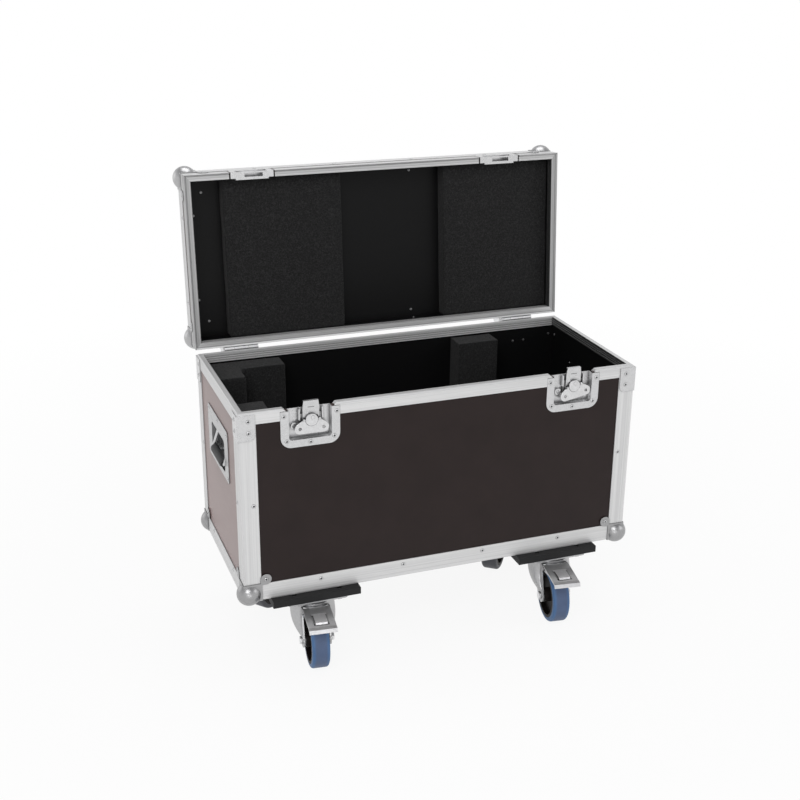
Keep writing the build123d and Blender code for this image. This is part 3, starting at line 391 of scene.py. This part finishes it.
def foam_look(name):
    """Open-cell foam: small dark pores in a charcoal body."""
    m, t, v = new_look(name, Specular_IOR_Level=0.15, Sheen_Weight=0.05, Sheen_Roughness=0.6)
    pores = cells_of(t, v, 620.0)
    big = cells_of(t, v, 240.0)
    dust = noise_of(t, v, 28.0, 5.0, 0.6)
    grit = noise_of(t, v, 420.0, 3.0, 0.7)
    wall = math_of(t, "ADD", math_of(t, "MULTIPLY", pores, 0.7), math_of(t, "MULTIPLY", big, 0.3))
    colour = ramp(t, wall, (0.12, (0.0015, 0.0015, 0.0016)), (0.42, (0.0090, 0.0090, 0.0093)),
                  (0.80, (0.0330, 0.0330, 0.0335)))
    colour = mix_colour(t, math_of(t, "MULTIPLY", dust, 0.35), colour, (0.018, 0.018, 0.0184))
    colour = mix_colour(t, math_of(t, "MULTIPLY", grit, 0.25), colour, (0.0045, 0.0045, 0.0047))
    rough = math_of(t, "MULTIPLY_ADD", dust, 0.10, 0.86)
    height = math_of(t, "ADD", wall, math_of(t, "MULTIPLY", grit, 0.8))
    return finish_look(m, colour, rough, bump(t, height, 0.0009, 0.8))


LOOKS = {
    "film": film_look("film_faced_ply"),
    "lining": lining_look("black_ply"),
    "posts": aluminium_look("posts_aluminium", ring=False),
    "rails": aluminium_look("rails_aluminium"),
    "lid_rails": aluminium_look("lid_rails_aluminium", lid=True),
    "rim": aluminium_look("rim_aluminium", rim=True),
    "lid_rim": aluminium_look("lid_rim_aluminium", lid=True, rim=True),
    "zinc": zinc_look("zinc_steel"),
    "bright": zinc_look("bright_zinc", 0.68, 0.16),
    # Base and lid ball corners are the same part; the base balls' lower tone is painted shade and the lid
    # balls' higher tone painted light.
    "balls": zinc_look("ball_zinc", 0.37, 0.26),
    "lid_balls": zinc_look("lid_ball_zinc", 0.47, 0.26),
    "handle": zinc_look("handle_zinc", 0.44, 0.20),
    "tab": zinc_look("bright_tab", 0.86, 0.30),
    "castor": zinc_look("castor_zinc", 0.47, 0.24),
    "left_pedal": zinc_look("left_pedal_zinc", 0.92, 0.26, pedal_of=CASTORS["front_left"]),
    "right_pedal": zinc_look("right_pedal_zinc", 0.92, 0.26, pedal_of=CASTORS["front_right"]),
    "tail": zinc_look("rivet_tail", 0.26, 0.30, RIVET_EDGE),
    "board": plain_look("black_board", (0.005, 0.005, 0.0055), (0.012, 0.012, 0.0125), 0.50, 0.2,
                        700.0, 0.00008, Specular_IOR_Level=0.30),
    "grip": plain_look("black_grip", (0.014, 0.014, 0.015), (0.027, 0.027, 0.029), 0.46, 0.18,
                       1100.0, 0.00008),
    "hub": plain_look("black_hub", (0.005, 0.0038, 0.0035), (0.011, 0.0080, 0.0075), 0.42, 0.2,
                      800.0, 0.00006, Specular_IOR_Level=0.16),
    "left_tread": tread_look("left_blue_tread", CASTORS["front_left"]),
    "right_tread": tread_look("right_blue_tread", CASTORS["front_right"]),
    # The rear tyres are the same blue tyres as the front; their grey look is painted shade.
    "slate": plain_look("slate_tread", (0.062, 0.064, 0.078), (0.092, 0.094, 0.108), 0.46, 0.16,
                        500.0, 0.00006),
    "foam": foam_look("foam"),
    # Partly the dark steel of rivet mandrels, partly painted shade in rivet recesses, round rivet heads
    # and in the pedal's slots.
    "hole": plain_look("rivet_hole", (0.006, 0.006, 0.006), (0.016, 0.016, 0.016), 0.6, 0.1,
                       900.0, 0.00005),
    "rivet": zinc_look("rivet_aluminium", 0.68, 0.24, RIVET_EDGE),
}

# Looks by the end of a node's name
LOOK_ENDS = (
    ("panel", "film"), ("panels", "film"), ("corner_posts", "posts"), ("base_rim", "rim"),
    ("lid_rim", "lid_rim"), ("bottom_edging", "rails"), ("lid_edging", "lid_rails"),
    ("base_ball_corners", "balls"), ("lid_ball_corners", "lid_balls"), ("rotor", "bright"),
    ("wing", "bright"), ("axle", "tab"), ("leaves", "tab"), ("handle_dishes", "handle"),
    ("fork", "castor"), ("kingpins", "castor"), ("plates", "castor"), ("boards", "board"),
    ("grip", "grip"), ("hub", "hub"))


def look_of(node):
    """The key of a node's look; each front pedal and tread has its own, and the rear treads share a grey
    look that is painted shade.
    """
    if node.startswith("rear") and node.endswith("tread"):
        return "slate"
    if node.endswith(("pedal", "tread")):
        words = node.split("_")
        return words[1] + "_" + words[-1]
    for end, look in LOOK_ENDS:
        if node.endswith(end):
            return look
    return "foam" if node.startswith("foam") else "zinc"


for name, o in NODES.items():
    for s in o.material_slots:
        s.material = LOOKS[look_of(name)]
    if look_of(name) == "film":
        middle = LID_CENTRE if name.startswith("lid") else CASE_CENTRE
        o.data.materials.append(LOOKS["lining"])
        for f in o.data.polygons:
            if f.normal.dot(f.center - middle) < 0:
                f.material_index = len(o.data.materials) - 1


# Meshes
SHARP_ANGLE = math.radians(38)


def add_piece(name, verts, faces, body, slot, looks, index=None):
    """A mesh piece in metres that rides on a body."""
    me = bpy.data.meshes.new(name)
    me.from_pydata(verts, [], faces)
    me.update()
    bm = bmesh.new()
    bm.from_mesh(me)
    bmesh.ops.recalc_face_normals(bm, faces=bm.faces)
    bm.to_mesh(me)
    bm.free()
    for k in looks:
        me.materials.append(LOOKS[k])
    if index:
        me.polygons.foreach_set("material_index", index)
    me.polygons.foreach_set("use_smooth", [True] * len(me.polygons))
    me.set_sharp_from_angle(angle=SHARP_ANGLE)
    o = bpy.data.objects.new(name, me)
    bpy.context.scene.collection.objects.link(o)
    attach(o, body)
    return o


def oblong(x0, x1, y0, y1):
    return [(x0, y0), (x1, y0), (x1, y1), (x0, y1)]


# Rivets, with sizes in mm
SEGMENTS = 18
FULL_TURN = 6.28
FACING = 0.9
SEARCH = 45.0
LEAST_WALL = 0.5
TAIL_MIDDLE = 1.5
BOX_SLACK = 0.5

# Profiles of (radius, height, look index up to the next point), from the outside in. On a head, look 1 is
# a painted shadow ring round its base and painted shade in its central recess, partly the mandrel's own
# dark steel
RIVET = [(3.5, -0.12, 1), (3.5, 0.04, 1), (3.25, 0.06, 0), (3.2, 0.35, 0), (2.85, 0.75, 0), (2.3, 0.98, 0),
         (1.8, 1.00, 0), (1.6, 0.80, 1), (1.5, 0.30, 1), (0.7, 0.24, 1), (0.5, 0.42, 1), (0.0, 0.44, 1)]
TAIL = [(2.4, -0.10, 0), (2.4, 0.40, 0), (2.2, 0.52, 0), (1.7, 0.58, 0), (1.6, 1.25, 0), (1.3, 1.75, 0),
        (0.7, 1.95, 0), (0.0, 2.00, 0)]

_trees = {}
rng = random.Random(7)


def tree_of(node):
    if node not in _trees:
        bm = bmesh.new()
        bm.from_mesh(NODES[node].data)
        _trees[node] = BVHTree.FromBMesh(bm)
        bm.free()
    return _trees[node]


def surface(nodes, start, way):
    """The nearest point of these nodes along a ray, its normal and distance; start is in mm."""
    best = None
    for n in nodes:
        at, normal, _, far = tree_of(n).ray_cast(Vector(start) * MM, Vector(way).normalized())
        if at is not None and (best is None or far < best[2]):
            best = (at, normal, far)
    return best


def box_holds(node, p):
    lo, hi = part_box(node)
    slack = BOX_SLACK * MM
    return all(lo[i] - slack <= p[i] <= hi[i] + slack for i in range(3))


class Turned:
    """Small turned forms gathered into one mesh."""

    def __init__(self):
        self.verts, self.faces, self.index = [], [], []

    def add(self, at, way, profile, spin):
        turn = Vector(way).to_track_quat("Z", "Y").to_matrix() @ Matrix.Rotation(spin, 3, "Z")
        rings = []
        for r, h, _ in profile:
            ring = []
            for k in range(SEGMENTS if r else 1):
                a = 2 * math.pi * k / SEGMENTS
                ring.append(len(self.verts))
                self.verts.append(at + turn @ Vector((r * math.cos(a) * MM, r * math.sin(a) * MM, h * MM)))
            rings.append(ring)
        for low, high, (_, _, look) in zip(rings, rings[1:], profile):
            for k in range(SEGMENTS):
                j = (k + 1) % SEGMENTS
                top = high if len(high) == 1 else (high[j], high[k])
                self.faces.append((low[k], low[j], *top))
                self.index.append(look)
        self.faces.append(tuple(reversed(rings[0])))
        self.index.append(0)

    def piece(self, name, body, slot, looks):
        add_piece(name, self.verts, self.faces, body, slot, looks, self.index)


def rivets(name, outside, inside, places, skip):
    """Rivet heads on a body's outside and their tails on its panels' inner faces, save under skip."""
    heads, tails = Turned(), Turned()
    for start, way in places:
        hit = surface(outside, start, way)
        if hit is None:
            continue
        at, normal, _ = hit
        w = Vector(way).normalized()
        heads.add(at, normal if normal.dot(w) <= -FACING else -w, RIVET, rng.uniform(0, FULL_TURN))
        back = surface(inside, (at + w * (SEARCH * MM)) / MM, -w)
        if back is None or back[2] > (SEARCH - LEAST_WALL) * MM:
            continue
        if any(box_holds(s, back[0] + w * (TAIL_MIDDLE * MM)) for s in skip):
            continue
        tails.add(back[0], w, TAIL, rng.uniform(0, FULL_TURN))
    heads.piece(name + "_rivet_heads", name, "aluminium_profile", ["rivet", "hole"])
    if tails.verts:
        tails.piece(name + "_rivet_tails", name, "aluminium_profile", ["tail"])


# Rays towards the rivets start outside the case, at these distances in mm
OUT_X = 420.0
OUT_Y = 200.0
OUT_ABOVE = 450.0
OUT_BELOW = -60.0


def side_ray(x, side, z):
    return (x, side * OUT_Y, z), (0, -side, 0)


def end_ray(side, y, z):
    return (side * OUT_X, y, z), (-side, 0, 0)


def top_ray(x, y):
    return (x, y, OUT_ABOVE), (0, 0, -1)


def bottom_ray(x, y):
    return (x, y, OUT_BELOW), (0, 0, 1)


# Rivet rows: places along the edging, insets from the case's outer faces and heights, in mm
PATTERN_X = (-223.4, -74.7, 74.7, 223.4)
PATTERN_Y = (-76.5, 76.5)
EDGE_INSET = 21.7
POST_INSET = 22.0
BRACE_INSET = 17.6
BALL_INSET = 38.0
SIDE_ROW_Z = 20.2
END_ROW_Z = 20.5
POST_Z = 173.5
BRACE_ROWS_Z = (322.7, 302.7)
HINGE_RIVET_X = 11.3
HINGE_BODY_Z = 295.5
HINGE_LID_Z = 377.5

# Rivets of a latch dish, as (x from its middle, z), and of a handle dish, as (y, z)
LATCH_RIVETS = ((-44, 323.0), (-40, 279.5), (0, 274.3), (40, 279.7), (44.6, 322.7))
HANDLE_RIVETS = ((-68, 267), (0, 268), (68, 267), (-68, 187), (0, 185.5), (68, 187))

case_places, lid_places = [], []
for x in PATTERN_X:
    for s in (-1, 1):
        case_places.append(side_ray(x, s, SIDE_ROW_Z))
        lid_places.append(side_ray(x, s, LID_TOP - EDGE_INSET))
        lid_places.append(top_ray(x, s * (HALF_Y - EDGE_INSET)))
for x in PATTERN_X[1:3]:
    for s in (-1, 1):
        case_places.append(bottom_ray(x, s * (HALF_Y - EDGE_INSET)))
for y in PATTERN_Y:
    for s in (-1, 1):
        case_places.append(end_ray(s, y, END_ROW_Z))
        case_places.append(bottom_ray(s * (HALF_X - EDGE_INSET), y))
        lid_places.append(end_ray(s, y, LID_TOP - EDGE_INSET))
        lid_places.append(top_ray(s * (HALF_X - EDGE_INSET), y))
for sx in (-1, 1):
    for sy in (-1, 1):
        case_places.append(side_ray(sx * (HALF_X - POST_INSET), sy, POST_Z))
        case_places.append(end_ray(sx, sy * (HALF_Y - POST_INSET), POST_Z))
        for z in BRACE_ROWS_Z:
            case_places.append(side_ray(sx * (HALF_X - BRACE_INSET), sy, z))
            case_places.append(end_ray(sx, sy * (HALF_Y - BRACE_INSET), z))
        ball_x, ball_y = sx * (HALF_X - BALL_INSET), sy * (HALF_Y - BALL_INSET)
        case_places.append(side_ray(ball_x, sy, BASE_Z + BALL_INSET))
        case_places.append(end_ray(sx, ball_y, BASE_Z + BALL_INSET))
        lid_places.append(side_ray(ball_x, sy, LID_TOP - BALL_INSET))
        lid_places.append(end_ray(sx, ball_y, LID_TOP - BALL_INSET))
        lid_places.append(top_ray(ball_x, ball_y))
for sx in (-1, 1):
    for dx, z in LATCH_RIVETS:
        case_places.append(side_ray(sx * LATCH_X + dx, -1, z))
    for dx in (-HINGE_RIVET_X, HINGE_RIVET_X):
        case_places.append(side_ray(sx * HINGE_X + dx, 1, HINGE_BODY_Z))
        lid_places.append(side_ray(sx * HINGE_X + dx, 1, HINGE_LID_Z))
    for y, z in HANDLE_RIVETS:
        case_places.append(end_ray(sx, y, z))

rivets("case", [n for n in BODIES["case"] if n.startswith(("base_", "latch_", "handle_", "hinge_body"))],
       ["base_front_panel", "base_back_panel", "base_end_panels", "base_bottom_panel"],
       case_places, ["foam_back_left", "foam_front_left", "foam_back_right"])
rivets("lid", [n for n in BODIES["lid"] if n.startswith(("lid_", "hinge_lid"))],
       ["lid_top_panel", "lid_wall_panels"],
       [(opened(p), opened_way(w)) for p, w in lid_places], ["foam_lid_left", "foam_lid_right"])

# Castor pieces. A fork leg's swell starts at the crown and ends above the flat ears at the axle
CHEEK_CELLS = 14
CHEEK_END_Z = AXLE_Z + 6.0
CHEEK_NARROWS, CHEEK_TAPER = 16.7, 1.3
CHEEK_SPREAD, CHEEK_FADE = 0.8, 2.4
CHEEK_INSIDE = 0.5
CROWN_HALF = math.sqrt(CROWN_R ** 2 - FORK_REACH ** 2)


def grid_solid(outer, inner, rows, cols):
    """A closed solid between two grids of points, and its faces."""
    verts = [outer(i / rows, j / cols) for i in range(rows + 1) for j in range(cols + 1)]
    verts += [inner(i / rows, j / cols) for i in range(rows + 1) for j in range(cols + 1)]
    w = cols + 1
    back = w * (rows + 1)
    faces = []
    for i in range(rows):
        for j in range(cols):
            a = i * w + j
            faces.append((a, a + 1, a + w + 1, a + w))
            faces.append((back + a, back + a + w, back + a + w + 1, back + a + 1))
    rim = list(range(w)) + [i * w + cols for i in range(1, rows + 1)]
    rim += [rows * w + j for j in range(cols - 1, -1, -1)] + [i * w for i in range(rows - 1, 0, -1)]
    for a, b in zip(rim, rim[1:] + rim[:1]):
        faces.append((a, back + a, back + b, b))
    return verts, faces


def joined(solids):
    """The points and faces of several solids as one mesh."""
    verts, faces = [], []
    for more, more_faces in solids:
        faces += [tuple(k + len(verts) for k in f) for f in more_faces]
        verts += more
    return verts, faces


def cheek(castor, side):
    """The pressed swell of one fork leg, from the crown's circle down to the ear."""
    def at(t, u, outside):
        v = 2 * u - 1
        y = -FORK_TRAIL * t ** 2 + (CROWN_HALF - CHEEK_NARROWS * t ** CHEEK_TAPER) * v
        out = math.sqrt(CROWN_R ** 2 - (CROWN_HALF * v) ** 2) - FORK_REACH
        swell = out * (1 + CHEEK_SPREAD * t) * (1 - t ** CHEEK_FADE)
        x = FORK_REACH + (swell if outside else -CHEEK_INSIDE)
        return castor_point(castor, side * x, y, CROWN_LOW + (CHEEK_END_Z - CROWN_LOW) * t)

    return grid_solid(lambda t, u: at(t, u, True), lambda t, u: at(t, u, False), CHEEK_CELLS, CHEEK_CELLS)


def strip(castor, line, half, thick, middle):
    """A bent strip across the pedal: its top line in (y, z), half width, thickness and middle's x."""
    count = len(line) - 1

    def point(t, u, drop):
        y, z = line[round(t * count)]
        return castor_point(castor, middle + half * (2 * u - 1), y, z - drop)

    return grid_solid(lambda t, u: point(t, u, 0), lambda t, u: point(t, u, thick), count, 1)


def sunk(ends, depth):
    """A straight line just under the pedal's top face, between two places in y."""
    return [(y, PEDAL_TOP - PEDAL_SLOPE * (PEDAL_ROOT - y) - depth) for y in ends]


# Plate in the pedal's window, the release tab's root, the tab and the slots beside it, the slots as dark
# strips of painted shade, each as its top line in (y, z), half width, thickness, middle's x and look
# index, in mm
TAB_STRIPS = (
    (sunk((-59.1, -92.9), 0.5), 12.95, 0.7, 0.0, 0),
    ([(-58.6, -27.9), (-61.0, -27.6), (-64.5, -27.65)], 13.0, 0.3, 0.0, 1),
    ([(-64.5, -27.55), (-76, -27.3), (-85, -27.25), (-88, -27.6), (-91.5, -29.8)], 10.4, 0.3, 0.0, 1),
    (sunk((-86.0, -91.0), 0.4), 1.05, 0.3, -11.55, 2),
    (sunk((-86.0, -91.0), 0.4), 1.05, 0.3, 11.55, 2))


def pedal_tab(name, castor):
    solids, index = [], []
    for line, half, thick, middle, look in TAB_STRIPS:
        solids.append(strip(castor, line, half, thick, middle))
        index += [look] * len(solids[-1][1])
    add_piece(name + "_pedal_tab", *joined(solids), name + "_pedal", "zinc_steel",
              [look_of(name + "_pedal"), "tab", "hole"], index)


for name, castor in CASTORS.items():
    add_piece(name + "_fork_cheeks", *joined([cheek(castor, side) for side in (-1, 1)]),
              name + "_castor", "zinc_steel", ["castor"])
    if name.startswith("front"):
        pedal_tab(name, castor)

# Foam: remesh size, spans of the slow and the fine unevenness and how far its faces pull in, in mm
FOAM_VOXEL = 3.0
WAVE_SPAN, GRAIN_SPAN = 60.0, 9.0
PULL, WAVE_PULL, GRAIN_PULL = 0.3, 1.1, 0.45
SEED_STEPS = (31.7, 17.3, 5.1)


def foam_piece(name, plan, low, high, body, seed):
    """A sawn foam block: rounded edges, faces that are slightly uneven, sides that pull in a little."""
    bm = bmesh.new()
    ring = [bm.verts.new((x, y, low)) for x, y in plan]
    out = bmesh.ops.extrude_face_region(bm, geom=[bm.faces.new(ring)])
    top = [v for v in out["geom"] if isinstance(v, bmesh.types.BMVert)]
    bmesh.ops.translate(bm, verts=top, vec=(0, 0, high - low))
    bmesh.ops.recalc_face_normals(bm, faces=bm.faces)
    bmesh.ops.triangulate(bm, faces=[f for f in bm.faces if len(f.verts) > 4])
    me = bpy.data.meshes.new(name + "_cut")
    bm.to_mesh(me)
    bm.free()
    o = bpy.data.objects.new(name + "_cut", me)
    bpy.context.scene.collection.objects.link(o)
    remesh = o.modifiers.new("remesh", "REMESH")
    remesh.mode = "VOXEL"
    remesh.voxel_size = FOAM_VOXEL
    smooth = o.modifiers.new("smooth", "CORRECTIVE_SMOOTH")
    smooth.factor = 0.5
    smooth.iterations = 1
    smooth.use_only_smooth = True
    baked = bpy.data.meshes.new_from_object(o.evaluated_get(bpy.context.evaluated_depsgraph_get()))
    bpy.data.objects.remove(o)
    bm = bmesh.new()
    bm.from_mesh(baked)
    bm.normal_update()
    xs, ys = zip(*plan)
    lo, hi = (min(xs), min(ys), low), (max(xs), max(ys), high)
    shift = Vector([seed * step for step in SEED_STEPS])
    for v in bm.verts:
        wave = noise.noise(v.co / WAVE_SPAN + shift) * 0.5 + 0.5
        grain = noise.noise(v.co / GRAIN_SPAN + shift) * 0.5 + 0.5
        v.co -= v.normal * (PULL + WAVE_PULL * wave + GRAIN_PULL * grain)
        for i in range(3):
            v.co[i] = min(max(v.co[i], lo[i]), hi[i])
    verts = [(opened(v.co) if body == "lid" else v.co) * MM for v in bm.verts]
    faces = [[v.index for v in f.verts] for f in bm.faces]
    bm.free()
    piece = add_piece(name + "_block", verts, faces, body, "foam", ["foam"])
    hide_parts(name)


# Seats of the foam blocks in the case and of the pads in the closed lid, in mm
IN_X = HALF_X - WALL - GAP
IN_Y = HALF_Y - WALL - GAP
FOAM_LOW = PLY + GAP
FOAM_HIGH = RIM_Z - 18.0
FOAM_END = -IN_X + 59.0
FOAM_SEAT = 58.0
FOAM_BACK = IN_Y - 45.0
FOAM_BACK_END = -IN_X + 141.2
FOAM_RIGHT = (128.9, 211.9)
PAD_LEFT = (-288.0, -67.0)
PAD_RIGHT = (130.7, IN_X)
ROOF = LID_TOP - WALL - GAP
PAD_LOW = ROOF - 30.0

FOAM_PLANS = {
    "foam_back_left": [(-IN_X, FOAM_SEAT), (FOAM_END, FOAM_SEAT), (FOAM_END, FOAM_BACK),
                       (FOAM_BACK_END, FOAM_BACK), (FOAM_BACK_END, IN_Y), (-IN_X, IN_Y)],
    "foam_front_left": oblong(-IN_X, FOAM_END, -IN_Y, -FOAM_SEAT),
    "foam_back_right": oblong(*FOAM_RIGHT, FOAM_BACK, IN_Y),
    "foam_lid_left": oblong(*PAD_LEFT, -IN_Y, IN_Y),
    "foam_lid_right": oblong(*PAD_RIGHT, -IN_Y, IN_Y)}
for seed, (name, plan) in enumerate(FOAM_PLANS.items(), 1):
    if name.startswith("foam_lid"):
        foam_piece(name, plan, PAD_LOW, ROOF, "lid", seed)
    else:
        foam_piece(name, plan, FOAM_LOW, FOAM_HIGH, "case", seed)

# Floor, light and camera. The floor's half width and the reach of its shadow are in metres
FLOOR_HALF = 60.0
SHADOW_NEAR, SHADOW_FAR = 0.7, 1.9
WHITE_NEAR, WHITE_MORE = 0.91, 0.09
FLOOR_MIRRORED = 0.80
PHOTO_SIDE = 800.0
SENSOR = 36.0


def bare_tree(owner):
    """An empty node tree of a material or a world."""
    owner.use_nodes = True
    owner.node_tree.nodes.clear()
    return owner.node_tree


def mirror_share(tree, path):
    """1 for rays that reach a thing by way of a reflection or through glass."""
    return math_of(tree, "MAXIMUM", path.outputs["Is Glossy Ray"], path.outputs["Is Transmission Ray"])


def floor():
    me = bpy.data.meshes.new("floor")
    plan = oblong(-FLOOR_HALF, FLOOR_HALF, -FLOOR_HALF, FLOOR_HALF)
    me.from_pydata([(x, y, FLOOR_Z * MM) for x, y in plan], [], [(0, 1, 2, 3)])
    o = bpy.data.objects.new("floor", me)
    bpy.context.scene.collection.objects.link(o)
    m = bpy.data.materials.new("floor")
    t = bare_tree(m)
    path = put(t, "ShaderNodeLightPath")
    place = put(t, "ShaderNodeTexCoord").outputs["Object"]
    away = put(t, "ShaderNodeVectorMath", {0: place}, operation="LENGTH").outputs["Value"]
    white = math_of(t, "MULTIPLY_ADD", span(t, away, SHADOW_NEAR, SHADOW_FAR), WHITE_MORE, WHITE_NEAR)
    share = math_of(t, "MAXIMUM", math_of(t, "MULTIPLY", path.outputs["Is Camera Ray"], white),
                    math_of(t, "MULTIPLY", mirror_share(t, path), FLOOR_MIRRORED))
    matt = put(t, "ShaderNodeBsdfDiffuse", {"Color": (0.77, 0.77, 0.77, 1.0)})
    glow = put(t, "ShaderNodeEmission", {"Color": (1, 1, 1, 1), "Strength": 1.0})
    mixed = put(t, "ShaderNodeMixShader", {0: share, 1: matt.outputs[0], 2: glow.outputs[0]})
    put(t, "ShaderNodeOutputMaterial", {"Surface": mixed.outputs[0]})
    me.materials.append(m)


def world():
    w = bpy.data.worlds.new("studio")
    bpy.context.scene.world = w
    t = bare_tree(w)
    path = put(t, "ShaderNodeLightPath")
    way = put(t, "ShaderNodeTexCoord").outputs["Generated"]
    up = put(t, "ShaderNodeSeparateXYZ", {0: way}).outputs[2]
    sky = ramp(t, math_of(t, "MULTIPLY_ADD", up, 0.5, 0.5), (0.50, (1.0, 1.0, 1.0)),
               (0.72, (0.72, 0.72, 0.73)), (0.95, (0.30, 0.30, 0.31)))
    light = put(t, "ShaderNodeBackground", {"Color": (1, 1, 1, 1), "Strength": 0.50})
    mirrored = put(t, "ShaderNodeBackground", {"Color": sky, "Strength": 1.0})
    white = put(t, "ShaderNodeBackground", {"Color": (1, 1, 1, 1), "Strength": 1.0})
    one = put(t, "ShaderNodeMixShader",
              {0: mirror_share(t, path), 1: light.outputs[0], 2: mirrored.outputs[0]})
    two = put(t, "ShaderNodeMixShader",
              {0: path.outputs["Is Camera Ray"], 1: one.outputs[0], 2: white.outputs[0]})
    put(t, "ShaderNodeOutputWorld", {"Surface": two.outputs[0]})


def lamp(name, at, to, size, energy):
    """A rectangular lamp at a place that looks at another, both in metres."""
    data = bpy.data.lights.new(name, "AREA")
    data.shape = "RECTANGLE"
    data.size, data.size_y = size
    data.energy = energy
    o = bpy.data.objects.new(name, data)
    bpy.context.scene.collection.objects.link(o)
    o.location = at
    o.rotation_mode = "QUATERNION"
    o.rotation_quaternion = (Vector(to) - Vector(at)).to_track_quat("-Z", "Y")


def camera(position, azimuth, elevation, roll, focal):
    """The camera of the photograph: place in mm, angles in degrees, focal length in its pixels."""
    a, e, r = (math.radians(v) for v in (azimuth, elevation, roll))
    ahead = Vector((math.sin(a) * math.cos(e), math.cos(a) * math.cos(e), -math.sin(e)))
    level = Vector((math.cos(a), -math.sin(a), 0))
    up = level.cross(ahead)
    right = math.cos(r) * level + math.sin(r) * up
    up = -math.sin(r) * level + math.cos(r) * up
    data = bpy.data.cameras.new("camera")
    data.sensor_width = SENSOR
    data.lens = focal / PHOTO_SIDE * SENSOR
    data.clip_start = 0.05
    data.clip_end = 200.0
    o = bpy.data.objects.new("camera", data)
    bpy.context.scene.collection.objects.link(o)
    turn = Matrix((right, up, -ahead)).transposed()
    o.matrix_world = Matrix.Translation(Vector(position) * MM) @ turn.to_4x4()
    bpy.context.scene.camera = o


floor()
world()
lamp("key", (-1.6, -2.6, 2.6), (0, 0, 0.2), (1.8, 1.8), 47.0)
lamp("fill", (2.6, -1.8, 1.6), (0, 0, 0.2), (1.6, 1.6), 13.0)
lamp("top", (0.2, 0.6, 3.2), (0, 0, 0.2), (2.4, 1.6), 36.0)
lamp("side", (-2.3, 1.9, 0.9), (-0.36, 0, 0.2), (1.6, 1.6), 5.0)
lamp("low", (-0.7, -2.4, 0.22), (0, 0, 0.02), (1.6, 0.35), 5.0)
camera(position=(-747.5, -1944.9, 1072.9), azimuth=20.362, elevation=21.340, roll=0.456, focal=1246.3)
bpy.context.scene.view_settings.view_transform = "Standard"
